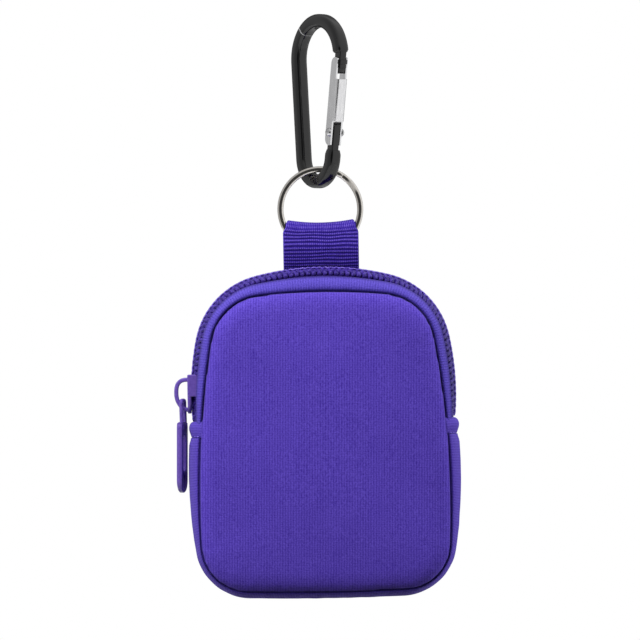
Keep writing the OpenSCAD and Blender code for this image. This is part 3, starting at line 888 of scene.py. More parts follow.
@dataclass(frozen=True)
class MetalFinish:
    """A metal or enamel surface: its colours, its polish and the fine marks that its making left.

    mark_size is the marks' width in mm, and lengthways how many times longer they are. scratch
    names a value kept with the mesh's points where the finish is worn to the bare metal. least
    and most are how the roughness varies, as shares of it.
    """

    name: str
    colour: str
    low: str
    metallic: float
    roughness: float
    coat: float = 0.0
    mark_size: float = 0.4
    lengthways: float = 1.0
    mark_depth: float = 0.004
    scratch: str = ""
    bare: str = "#a9a9ab"
    least: float = 0.8
    most: float = 1.25

    def material(self) -> Material:
        """Builds the surface's material.

        Returns:
            The material.
        """
        material, tree, shader = new_material(self.name)
        metres = add_node(tree, "TexCoord").outputs["Object"]
        drawn = add_node(
            tree, "Mapping", None, {"Scale": (1 / MM, 1 / MM, 1 / (MM * self.lengthways))},
            {"Vector": metres},
        ).outputs["Vector"]
        marks = add_node(
            tree, "TexNoise", None, {"Scale": 1 / self.mark_size, "Detail": 4.0}, {"Vector": drawn},
        ).outputs["Fac"]
        share = add_node(
            tree, "MapRange", None, {"From Min": 0.3, "From Max": 0.7}, {"Value": marks}
        ).outputs[0]
        colour = add_node(
            tree, "Mix", {"data_type": "RGBA"}, {6: srgb(self.low), 7: srgb(self.colour)}, {0: share},
        ).outputs[2]
        if self.scratch:
            worn = add_node(tree, "Attribute", {"attribute_name": self.scratch}).outputs["Fac"]
            colour = add_node(
                tree, "Mix", {"data_type": "RGBA"}, {7: srgb(self.bare)}, {0: worn, 6: colour},
            ).outputs[2]
        rough = add_node(
            tree, "MapRange", None,
            {"To Min": self.roughness * self.least, "To Max": self.roughness * self.most},
            {"Value": share},
        ).outputs[0]
        relief = add_node(
            tree, "Bump", None, {"Strength": 1.0, "Distance": self.mark_depth * MM}, {"Height": marks},
        ).outputs["Normal"]
        set_surface(
            tree, shader, {"Base Color": colour, "Roughness": rough, "Normal": relief},
            {"Metallic": self.metallic, "Coat Weight": self.coat, "Coat Roughness": 0.12},
        )
        return material


class Finishes:
    """Every finish of the object, built once."""

    def __init__(self) -> None:
        """Builds every finish."""
        self.panel = KnitNeoprene("knit_neoprene_panel", "#6852cc", "#3c2698").material()
        self.gusset = KnitNeoprene("knit_neoprene_gusset", "#6450c2", "#432f99", mapped=True).material()
        self.band = KnitNeoprene(
            "knit_neoprene_band", "#6757ca", "#4335a0", mapped=True, pile_depth=0.26
        ).material()
        self.webbing = RibbedNylon().material()
        self.tape = WovenTape().material()
        self.coil = DyedFilament("drawn_nylon_coil", "#4c399c", "#291a6c").material()
        self.thread = DyedFilament("spun_polyester_thread", "#8a76da", "#6853c4", 0.5).material()
        # Hard anodised aluminium, dyed black and polished: clear, narrow reflections on black
        self.anodised = MetalFinish(
            "black_anodised_aluminium", "#0b0b0c", "#060607", 0.0, 0.09, mark_depth=0.002, scratch="parting"
        ).material()
        # Rolled aluminium sheet, left bare: a pale satin face with fine marks along its length
        self.aluminium = MetalFinish(
            "rolled_bare_aluminium", "#e6e6e7", "#d0d0d2", 1.0, 0.26, lengthways=12.0, mark_depth=0.006
        ).material()
        # Hammered steel rivet: a bright dome with small dents
        self.rivet = MetalFinish(
            "hammered_steel_rivet", "#e2e2e2", "#a9a9ab", 1.0, 0.22, mark_depth=0.03
        ).material()
        # Tempered steel strip, rolled: grey with a soft shine
        self.spring = MetalFinish(
            "tempered_spring_steel", "#9a9a9c", "#7c7c80", 1.0, 0.35, lengthways=6.0
        ).material()
        # Nickel plate on spring wire: mirror bright and slightly warm
        self.nickel = MetalFinish("bright_nickel_plate", "#dcd8d2", "#c6c1bb", 1.0, 0.12).material()
        # Enamel baked on a zinc casting: smooth and half glossy
        self.enamel = MetalFinish(
            "baked_purple_enamel", "#7056b4", "#6049a6", 0.0, 0.32, 0.1, mark_size=0.9, mark_depth=0.008
        ).material()


def dress(piece: Object, material: Material, slot: Slot) -> Object:
    """Gives a new piece its material.

    Args:
        piece: the piece.
        material: its material.
        slot: the finish; not used.

    Returns:
        The piece.
    """
    piece.data.materials.clear()
    piece.data.materials.append(material)
    return piece


def dress_node(name: str, material: Material, edge: float, angle: float = 35.0) -> None:
    """Gives a CAD node its material, and rounds its edges with modifiers.

    Args:
        name: the node.
        material: its finish.
        edge: the radius of its rounded edges in mm.
        angle: edges that turn more than this in degrees are rounded.
    """
    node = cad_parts[name]
    node.data.materials.clear()
    node.data.materials.append(material)
    weld = node.modifiers.new("weld", "WELD")
    weld.merge_threshold = 0.002 * MM
    rounding = node.modifiers.new("edges", "BEVEL")
    rounding.width = edge * MM
    rounding.segments = 3
    rounding.limit_method = "ANGLE"
    rounding.angle_limit = math.radians(angle)
    rounding.harden_normals = True
    LOG.info("%s is done", name)


# Padded fabric


@dataclass
class PaddedPanel:
    """The front or back face: foam-backed knit, cut to a rounded outline and rolled in at its seam.

    roll is how far in from the seam the face is still rounding over, and puff how far the
    stuffing may push it out, in mm. under is how deep its edge turns in below the seam's height,
    held how high above the seam the stitches hold it, and spine how far from the panel's ends
    its middle line stops. turned and back_shares place the rings of the turned edge and the
    back, and insets those of the rounded edge.
    """

    side: Side
    material: Material
    roll: float = 6.4
    roll_powers: Tuple[float, float] = (2.6, 0.62)
    under: float = 1.9
    puff: float = 0.9
    held: float = 0.8
    spine: float = 38.0
    crown_share: float = 0.1
    steps: int = 22
    back_inset: float = 2.4
    back_shares: Tuple[float, ...] = (0.97, 0.7, 0.4, 0.15)
    turned: Tuple[Tuple[float, float], ...] = ((0.9, 1.0), (0.45, 0.62), (0.12, 0.25))
    insets: Tuple[float, ...] = (0.0, 0.12, 0.35, 0.7, 1.15, 1.7, 2.4, 3.3, 4.4, 5.6, 7.0, 8.6)
    inner_rings: int = 9
    inner_gap: float = 0.3
    voxel: float = 1.5
    solver_scale: float = 10.0
    solver_frames: int = 20
    gathers: Ripples = Ripples(2.6, 0.12, 5)
    gather_l: float = 2.4
    slow_waves: Ripples = Ripples(38.0, 0.16, 8)
    # Painted shade in the seam's crease: its strength, how high above the seam it fades and over how many
    # mm
    painted_seam_shade: float = 0.9
    seam_from: float = -0.2
    seam_width: float = 1.3

    def face_height(self, inset: float) -> float:
        """The face's height above the seam, at a distance in from the outline."""
        steep, blunt = self.roll_powers
        return LINES.panel_rise * (1 - (1 - min(inset / self.roll, 1.0)) ** steep) ** blunt

    def rings(self) -> np.ndarray:
        """Lays out the panel.

        Returns:
            Its rings from the seam's underside to the middle of its face.
        """
        line = LINES.panel_outline(self.steps)
        normal = np.stack([np.cos(line[:, 2]), np.sin(line[:, 2])], axis=1)
        line = line[:, :2]
        spine_top = LINES.zip_top - LINES.panel_top_drop - self.spine
        spine_foot = LINES.zip_top - LINES.panel_bottom_drop + self.spine
        spine = np.stack([np.zeros(len(line)), np.clip(line[:, 1], spine_foot, spine_top)], axis=1)
        back = line - self.back_inset * normal
        rings = [lifted(back + t * (spine - back), -self.under) for t in self.back_shares]
        rings += [lifted(line - inset * normal, -share * self.under) for inset, share in self.turned]
        rings += [lifted(line - inset * normal, self.face_height(inset)) for inset in self.insets]
        edge = rings[-1][:, :2]
        for k in range(1, self.inner_rings + 1):
            t = k / (self.inner_rings + self.inner_gap)
            rise = LINES.panel_rise * (1 + self.crown_share * math.sin(t * math.pi / 2))
            rings.append(lifted(edge + t * (spine - edge), rise))
        stack = np.stack(rings)
        stack[..., 2] = (LINES.seam_h + stack[..., 2]) * self.side.value
        return stack

    def build(self, name: str) -> Object:
        """Makes the panel, puffs it out and puckers its seam.

        Args:
            name: the piece's name.

        Returns:
            The finished piece.
        """
        piece = skin(name, LINES.place(self.rings()))
        self.stuff(piece)
        self.pucker(piece)
        return dress(piece, self.material, Slot.KNIT)

    def stuff(self, piece: Object) -> None:
        """Remeshes the panel and lets pressure fill it like cloth over foam.

        The work is done at solver_scale times the size, where the cloth solver is at home.

        Args:
            piece: the panel.
        """
        unit = MM * self.solver_scale
        piece.data.transform(Matrix.Scale(self.solver_scale, 4))
        remesh = piece.modifiers.new("even", "REMESH")
        remesh.mode = "VOXEL"
        remesh.voxel_size = self.voxel * unit
        apply_modifiers(piece)
        start = vertex_places(piece)
        height = (-start[:, 1] / unit - LINES.forward) * self.side.value
        held = piece.vertex_groups.new(name="held")
        for index in np.nonzero(height < LINES.seam_h + self.held)[0]:
            held.add([int(index)], 1.0, "REPLACE")
        cloth = piece.modifiers.new("stuffing", "CLOTH")
        cloth.settings.quality = 6
        cloth.settings.mass = 0.2
        cloth.settings.tension_stiffness = 12
        cloth.settings.compression_stiffness = 12
        cloth.settings.bending_stiffness = 2.0
        cloth.settings.use_pressure = True
        cloth.settings.uniform_pressure_force = 4.0
        cloth.settings.vertex_group_mass = "held"
        cloth.settings.effector_weights.gravity = 0.0
        cloth.collision_settings.use_collision = False
        cloth.collision_settings.use_self_collision = False
        for step in range(self.solver_frames):
            bpy.context.scene.frame_set(step + 1)
        apply_modifiers(piece)
        bpy.context.scene.frame_set(1)
        moved = vertex_places(piece) - start
        farthest = float(np.linalg.norm(moved, axis=1).max())
        moved *= min(1.0, self.puff * unit / farthest)
        set_places(piece, (start + moved) / self.solver_scale)
        smooth = piece.modifiers.new("even", "SUBSURF")
        smooth.levels = smooth.render_levels = 1
        apply_modifiers(piece)
        LOG.info("%s puffed by up to %.2f mm", piece.name, farthest / unit)

    def pucker(self, piece: Object) -> None:
        """Gathers the face beside its stitches, leaves slow waves on it and paints shade along the seam.

        Args:
            piece: the panel.
        """
        places = vertex_places(piece)
        face = places[:, [0, 2]] / MM
        rise = (-places[:, 1] / MM - LINES.forward) * self.side.value - LINES.seam_h
        low = np.clip((LINES.panel_rise - rise) / self.gather_l, 0, 1)
        waves = self.gathers.at(face) * low + self.slow_waves.at(face) * (1 - low)
        places[:, 1] -= self.side.value * waves * MM
        set_places(piece, places)
        # Painted shade: darkest at the seam, fading as the face rises
        dark = self.painted_seam_shade * (1 - smoothstep((rise - self.seam_from) / self.seam_width))
        values = piece.data.attributes.new("seam", "FLOAT", "POINT")
        values.data.foreach_set("value", dark.astype(np.float32))


@dataclass
class PaddedBand:
    """The puffy band between the zip tape and a panel, sewn along both edges.

    start_share is where the band starts, as a share of the way from the zip to the panel. dip is
    how far below the seam's height it ends, and tuck how far it runs in under the panel, in mm.
    Its section is the part of a tube between the two angles. inner_drop is how far below it its
    inside starts, inner_fall how much further that falls, and seam_share how much thinner the
    band is there.
    """

    side: Side
    material: Material
    start_h: float = 5.8
    start_share: float = 0.42
    thickness: float = 1.9
    bulge: float = 3.0
    dip: float = 1.7
    tuck: float = 0.25
    first_angle: float = math.radians(6)
    last_angle: float = math.radians(158)
    inner_drop: float = 0.2
    inner_fall: float = 0.9
    seam_share: float = 0.5
    crinkles: Ripples = Ripples(3.1, 0.05, 3)
    # Painted shade in the seams beside the panel and the zip: how far it fades there, in mm, and its
    # strength
    panel_seam_width: float = 0.55
    zip_seam_width: float = 0.5
    painted_seam_shade: float = 0.85
    steps: int = 44
    face_points: int = 27
    inner_points: int = 8

    def profile(self, d: np.ndarray, along: np.ndarray) -> Tuple[np.ndarray, np.ndarray]:
        """The band's section: a soft tube that dips into the seam beside the panel.

        Args:
            d: the distance from the zip's line to the panel's, at each station.
            along: the distance along the band at each station.

        Returns:
            How far in from the zip's line, and how high, by station and by point.
        """
        turn = np.linspace(self.first_angle, self.last_angle, self.face_points)
        flat = (self.start_share * d)[:, None]
        chord = d[:, None] + self.tuck - flat
        across = (np.cos(turn[0]) - np.cos(turn)) / (np.cos(turn[0]) - np.cos(turn[-1]))
        fall = LINES.seam_h - self.dip - self.start_h
        lift = np.sin(turn) - np.sin(turn[0])
        lift = lift - (np.sin(turn[-1]) - np.sin(turn[0])) * across
        crown = self.bulge * (1 + self.crinkles.along(along)[:, None] * across**2)
        reach = flat + chord * across
        height = self.start_h + fall * across + crown * lift
        back = np.linspace(1, 0, self.inner_points)
        inner_reach = flat + chord * back + self.thickness * (1 - self.seam_share * back)
        level = self.start_h - self.inner_drop + (fall - self.inner_fall) * back
        inner_height = np.broadcast_to(level, inner_reach.shape)
        return np.hstack([reach, inner_reach]), np.hstack([height, inner_height])

    def build(self, name: str) -> Object:
        """Makes the band over its whole length, from one end tab to the other.

        Args:
            name: the piece's name.

        Returns:
            The band.
        """
        zips = LINES.zip_line(LINES.ends_z, self.steps)[:, :2]
        panels = LINES.panel_above(LINES.ends_z, self.steps)[:, :2]
        d = np.linalg.norm(panels - zips, axis=1)
        unit = (panels - zips) / d[:, None]
        reach, height = self.profile(d, lengths(panels))
        points = lifted(zips[:, None] + reach[..., None] * unit[:, None], self.side.value * height)
        # Painted shade, darkest in both seams and only on the band's face
        dark = fades(d[:, None] - reach, self.panel_seam_width)
        dark += fades(reach - reach[:, :1], self.zip_seam_width)
        dark *= np.where(np.arange(reach.shape[1]) < self.face_points, self.painted_seam_shade, 0)
        piece = skin(name, LINES.place(points), crease=80, values={"seam": dark})
        return dress(piece, self.material, Slot.BAND)


@dataclass
class Gusset:
    """The wall round the sides and the bottom, bulging a little between its two seams.

    edge_roll is how far it swells beside a seam, from roll_from on, and edge_dip how far it then
    turns in, from dip_from on. pinch is how far its ends are drawn in, over pinch_l, and calm_l
    how far from them its waves are full. Sizes are in mm, and the two starts are shares.
    """

    material: Material
    wall: float = 3.0
    bulge_power: float = 2.6
    edge_h: float = 0.9
    inner_edge_h: float = 0.2
    edge_roll: float = 1.5
    roll_from: float = 0.55
    roll_turn: float = 0.72 * math.pi
    edge_dip: float = 1.3
    dip_from: float = 0.9
    pinch: float = 0.5
    pinch_l: float = 2.6
    waves: Ripples = Ripples(7.0, 0.05, 11)
    calm_l: float = 20.0
    # Painted shade beside the seams to the panels: its strength, where it starts and how far it fades, in
    # mm
    painted_seam_shade: float = 0.65
    seam_from: float = 0.05
    seam_width: float = 0.5
    steps: int = 44
    face_points: int = 49
    inner_points: int = 11

    def build(self, name: str) -> Object:
        """Makes the wall from one end tab round the bottom to the other.

        Args:
            name: the piece's name.

        Returns:
            The wall.
        """
        outer = LINES.gusset_below(LINES.ends_z, self.steps)[:, :2]
        seam = LINES.panel_below(LINES.ends_z, self.steps)[:, :2]
        reach = np.linalg.norm(outer - seam, axis=1)[:, None]
        unit = (outer - seam) / reach
        along = lengths(outer)
        ends = np.minimum(along, along[-1] - along)
        pinch = self.pinch * (1 - smoothstep(ends / self.pinch_l))
        wave = self.waves.along(along) * smoothstep(ends / self.calm_l)
        t = np.sin(np.linspace(-1, 1, self.face_points) * math.pi / 2)
        share = 1 - np.abs(t) ** self.bulge_power
        out = (reach + (wave - pinch)[:, None]) * share
        rolled = np.clip((np.abs(t) - self.roll_from) / (1 - self.roll_from), 0, 1)
        dipped = np.clip((np.abs(t) - self.dip_from) / (1 - self.dip_from), 0, 1) ** 2
        swell = self.edge_roll * np.sin(rolled * self.roll_turn) - self.edge_dip * dipped
        height = t * (LINES.seam_h - self.edge_h) + swell * np.sign(t)
        inner = np.linspace(1, -1, self.inner_points)
        inner_out = reach * (1 - np.abs(inner) ** self.bulge_power) - self.wall
        inner_height = inner * (LINES.seam_h - self.inner_edge_h)
        flat = seam[:, None] + np.hstack([out, inner_out])[..., None] * unit[:, None]
        points = lifted(flat, np.concatenate([height, inner_height]))
        # Painted shade on the outer face, darkest beside both seams
        dark = np.zeros(flat.shape[:2])
        dark[:, : len(t)] = self.painted_seam_shade * fades(reach * share - self.seam_from, self.seam_width)
        piece = skin(name, LINES.place(points), crease=80, values={"seam": dark})
        return dress(piece, self.material, Slot.KNIT)


@dataclass
class EndTab:
    """A roll of fabric sewn round the pouch over the closed end of the zip.

    laps are how far it runs past the tab's place above and below, and insets how far it lies in
    from the zip's line at its top and its foot, in mm. Each stitch starts at stitch_h above the
    pouch's middle, or one or more stitch_pitch lower.
    """

    material: Material
    thread: Material
    mirrored: bool
    swell: float = 1.35
    wall: float = 2.4
    bulge_power: float = 2.6
    laps: Tuple[float, float] = (0.3, 0.25)
    insets: Tuple[float, float] = (0.7, -0.65)
    edge_tuck: float = 0.7
    edge_drop: float = 0.3
    face_swell: float = 0.5
    steps: int = 18
    face_points: int = 33
    inner_points: int = 11
    stitch_count: int = 5
    stitch_h: float = 10.0
    stitch_l: float = 1.5
    stitch_pitch: float = 2.1
    stitch_up: float = 0.15
    stitch_out: float = 0.55
    stitch_lift: float = 0.12
    stitch_radii: Tuple[float, ...] = (0.12, 0.17, 0.19, 0.17, 0.12)

    def build(self, name: str) -> Object:
        """Makes the roll that bulges over the band's end and turns in above the gusset.

        Args:
            name: the piece's name.

        Returns:
            The roll.
        """
        t = (1 - np.cos(math.pi * np.linspace(0, 1, self.steps + 1))) / 2
        z = LINES.tab_z + self.laps[0] - t * (LINES.tab_l + sum(self.laps))
        seam = np.array([LINES.panel_side.x_at(v) for v in z])[:, None]
        depth = np.array([LINES.zip_side.x_at(v) for v in z])[:, None] - seam
        round_over = np.sqrt(np.clip(1 - (2 * t - 1) ** 2, 0, 1))[:, None]
        inset = self.insets[0] + (self.insets[1] - self.insets[0]) * smoothstep(2 * t - 1)[:, None]
        reach = depth - inset + (self.swell + inset) * round_over
        level = np.sin(np.linspace(-1, 1, self.face_points) * math.pi / 2)
        share = 1 - np.abs(level) ** self.bulge_power
        out = reach * share - self.edge_tuck * (1 - round_over) * (1 - share)
        inner = np.linspace(1, -1, self.inner_points)
        inner_out = depth * (1 - np.abs(inner) ** self.bulge_power) - self.wall
        x = seam + np.hstack([out, inner_out])
        rise = LINES.seam_h - self.edge_drop
        back = np.broadcast_to(inner * rise, inner_out.shape)
        h = np.hstack([level * (rise + self.face_swell * round_over), back])
        points = np.stack([x, np.broadcast_to(z[:, None], x.shape), h], axis=2)
        if self.mirrored:
            points[..., 0] *= -1
        piece = skin(name, LINES.place(points), crease=80)
        return dress(piece, self.material, Slot.BAND)

    def stitches(self, name: str) -> Object:
        """Makes the short stitches along the roll's lower edge.

        Args:
            name: the piece's name.

        Returns:
            The stitches, as one piece.
        """
        parts = []
        radii = np.array(self.stitch_radii) * MM
        z = LINES.tab_z - LINES.tab_l + self.stitch_up
        seam = LINES.panel_side.x_at(z)
        edge = LINES.zip_side.x_at(z) + self.stitch_out
        for side in (1, -1):
            for k in range(self.stitch_count):
                start = self.stitch_h - self.stitch_pitch * k
                h = np.linspace(start, start - self.stitch_l, len(radii))
                share = 1 - (h / LINES.seam_h) ** self.bulge_power
                x = seam + (edge - seam) * share + self.stitch_lift
                line = np.stack([x, np.full_like(h, z), side * h], axis=1)
                if self.mirrored:
                    line[:, 0] *= -1
                rings = tube_rings(LINES.place(line), radii, 6, np.array([0, 0, 1.0]))
                parts.append(skin("stitch", rings))
        return dress(joined(name, parts), self.thread, Slot.BAND)


# Zip


@dataclass
class ZipHalf:
    """One half of the coil zip: a filament wound in teeth, on a woven tape.

    The chain is crowned, so its heels lie lower than its middle and show as a row of beads. A
    tooth's filament steps on between two phases of its turn, from step_from on and for step_over.
    tape_knots are the tape's section: for each, the share of the way to the panel, the mm in
    beyond that, and the height. Sizes are in mm.
    """

    side: Side
    coil: Material
    tape: Material
    thread: Material
    pitch: float = 1.92
    filament_r: float = 0.62
    heel_r: float = 0.9
    core_r: float = 0.85
    core_h: float = 1.5
    head_h: float = -0.4
    heel_h: float = 2.75
    leg_gap: float = 0.5
    heel_gap: float = 0.28
    loop_power: float = 0.8
    heel_power: float = 1.5
    step_from: float = 0.2
    step_over: float = 2.7
    crown: float = 1.6
    crown_half_w: float = 3.0
    crown_power: float = 1.7
    end_gap: float = 0.3
    turn_points: int = 20
    path_steps: int = 60
    thread_r: float = 0.2
    thread_h: float = 1.35
    thread_out: float = 0.02
    thread_bob: float = 0.1
    thread_wave: float = 0.12
    thread_end_gap: float = 0.8
    tape_t: float = 0.5
    tape_middle: float = 4.0
    tape_steps: int = 30
    tape_points: int = 26
    tape_knots: Tuple[Tuple[float, float, float], ...] = (
        (0.0, 2.65, 0.75), (0.0, 3.35, 3.0), (0.0, 3.75, 4.6), (0.42, 2.6, 5.4), (0.72, 3.0, 6.9),
        (1.0, 3.4, 7.6),
    )

    def __post_init__(self) -> None:
        """Draws the zip's line and measures it."""
        self.path = LINES.zip_line(LINES.tab_z, self.path_steps)
        self.places = lengths(self.path[:, :2])
        self.total = self.places[-1]

    def crowned(self, h: np.ndarray) -> np.ndarray:
        """How far the chain falls away beside its middle."""
        aside = np.clip(np.abs(h), 0, self.crown_half_w) / self.crown_half_w
        return -self.crown * aside**self.crown_power

    def on_line(self, s: np.ndarray, n: np.ndarray, h: np.ndarray) -> np.ndarray:
        """Places points beside the zip's line.

        Args:
            s: the distance along the zip.
            n: the distance out from it.
            h: the height from the pouch's middle towards this side.

        Returns:
            Rows of x, y and z, in metres.
        """
        at = at_lengths(self.path, self.places, s)
        flat = at[..., :2] + n[:, None] * np.stack([np.cos(at[:, 2]), np.sin(at[:, 2])], axis=1)
        return LINES.place(lifted(flat, self.side.value * h))

    def build_coil(self, name: str) -> Object:
        """Winds the filament round its core cord, from one end tab to the other.

        Args:
            name: the piece's name.

        Returns:
            The coil with its core.
        """
        shift = 0.0 if self.side is Side.FRONT else 0.5
        turn = np.arange(int(self.total / self.pitch) * self.turn_points) / self.turn_points
        phase = (turn % 1) * 2 * math.pi - math.pi
        ahead = smoothstep((phase - self.step_from) / self.step_over)
        s = (np.floor(turn) + ahead + shift) * self.pitch + self.end_gap
        keep = s < self.total - self.end_gap
        s, phase = s[keep], phase[keep]
        level = np.cos(phase)
        middle, half = (self.heel_h + self.head_h) / 2, (self.heel_h - self.head_h) / 2
        h = middle + half * np.sign(level) * np.abs(level) ** self.loop_power
        heel = np.clip(level, 0, 1) ** self.heel_power
        gap = self.leg_gap + (self.heel_gap - self.leg_gap) * heel
        n = gap * np.sin(phase) - self.filament_r - self.leg_gap + self.crowned(h)
        radii = (self.filament_r + (self.heel_r - self.filament_r) * heel) * MM
        up = self.steady(np.gradient(self.on_line(s, 0 * s, 0 * s), axis=0))
        coil = skin(name, tube_rings(self.on_line(s, n, h), radii, 10, up), crease=80)
        s = np.arange(self.end_gap, self.total - self.end_gap, self.pitch / 4)
        h = np.full_like(s, self.core_h)
        line = self.on_line(s, self.crowned(h) - self.filament_r - self.leg_gap, h)
        core = skin("core", tube_rings(line, np.full(len(s), self.core_r * MM), 8, np.array([0, 1.0, 0])))
        return dress(joined(name, [coil, core]), self.coil, Slot.COIL)

    @staticmethod
    def steady(steps: np.ndarray) -> np.ndarray:
        """Turns steps along the zip into directions, also where the strand stands still.

        Args:
            steps: rows of x, y and z, some of them nothing.

        Returns:
            Level directions, with the gaps between good ones filled evenly.
        """
        flat = steps * (1, 0, 1)
        flat /= np.linalg.norm(flat, axis=1, keepdims=True) + 1e-12
        good = np.linalg.norm(flat, axis=1) > 0.5
        index = np.arange(len(flat))
        return np.stack([np.interp(index, index[good], flat[good, k]) for k in range(3)], axis=1)

    def tape_rings(self) -> Tuple[np.ndarray, float, float]:
        """Lays out the tape, under the coil, in beside it and on under the band.

        Returns:
            The tape's rings, its length and its width.
        """
        zips = LINES.zip_line(LINES.tab_z, self.tape_steps)[:, :2]
        panels = LINES.panel_above(LINES.tab_z, self.tape_steps)[:, :2]
        d = np.linalg.norm(panels - zips, axis=1)
        unit = (panels - zips) / d[:, None]
        share, inward, high = np.array(self.tape_knots).T
        t = np.linspace(0, len(high) - 1, self.tape_points)
        n = np.stack([np.interp(t, range(len(high)), share * gap + inward) for gap in d])
        h = np.broadcast_to(np.interp(t, range(len(high)), high), n.shape)
        dn, dh = np.gradient(n, axis=1), np.gradient(h, axis=1)
        half = self.tape_t / 2 / np.hypot(dn, dh)
        ring_n = np.hstack([n - dh * half, (n + dh * half)[:, ::-1]])
        ring_h = np.hstack([h + dn * half, (h - dn * half)[:, ::-1]])
        points = lifted(zips[:, None] + ring_n[..., None] * unit[:, None], self.side.value * ring_h)
        width = float(np.hypot(np.diff(n, axis=1), np.diff(h, axis=1)).sum(1).mean())
        return LINES.place(points), float(lengths(zips + self.tape_middle * unit)[-1]), width

    def build_tape(self, name: str) -> Object:
        """Args:
            name: the piece's name.

        Returns:
            The tape.
        """
        rings, length, width = self.tape_rings()
        piece = skin(name, rings, crease=80)
        return dress(piece, self.tape, Slot.TAPE)

    def build_stitches(self, name: str) -> Object:
        """Makes the thread that holds the coil down, over the legs of every tooth.

        Args:
            name: the piece's name.

        Returns:
            The thread.
        """
        s = np.arange(self.thread_end_gap, self.total - self.thread_end_gap, self.pitch / 8)
        h = np.full_like(s, self.thread_h)
        bob = self.thread_bob * np.cos(2 * math.pi * (s - self.end_gap) / self.pitch)
        wave = self.thread_wave * np.sin(math.pi * s / self.pitch)
        line = self.on_line(s, self.crowned(h) + self.thread_out + bob, h + wave)
        radii = np.full(len(s), self.thread_r * MM)
        piece = skin(name, tube_rings(line, radii, 6, np.array([0, 1.0, 0])), crease=80)
        return dress(piece, self.thread, Slot.TAPE)


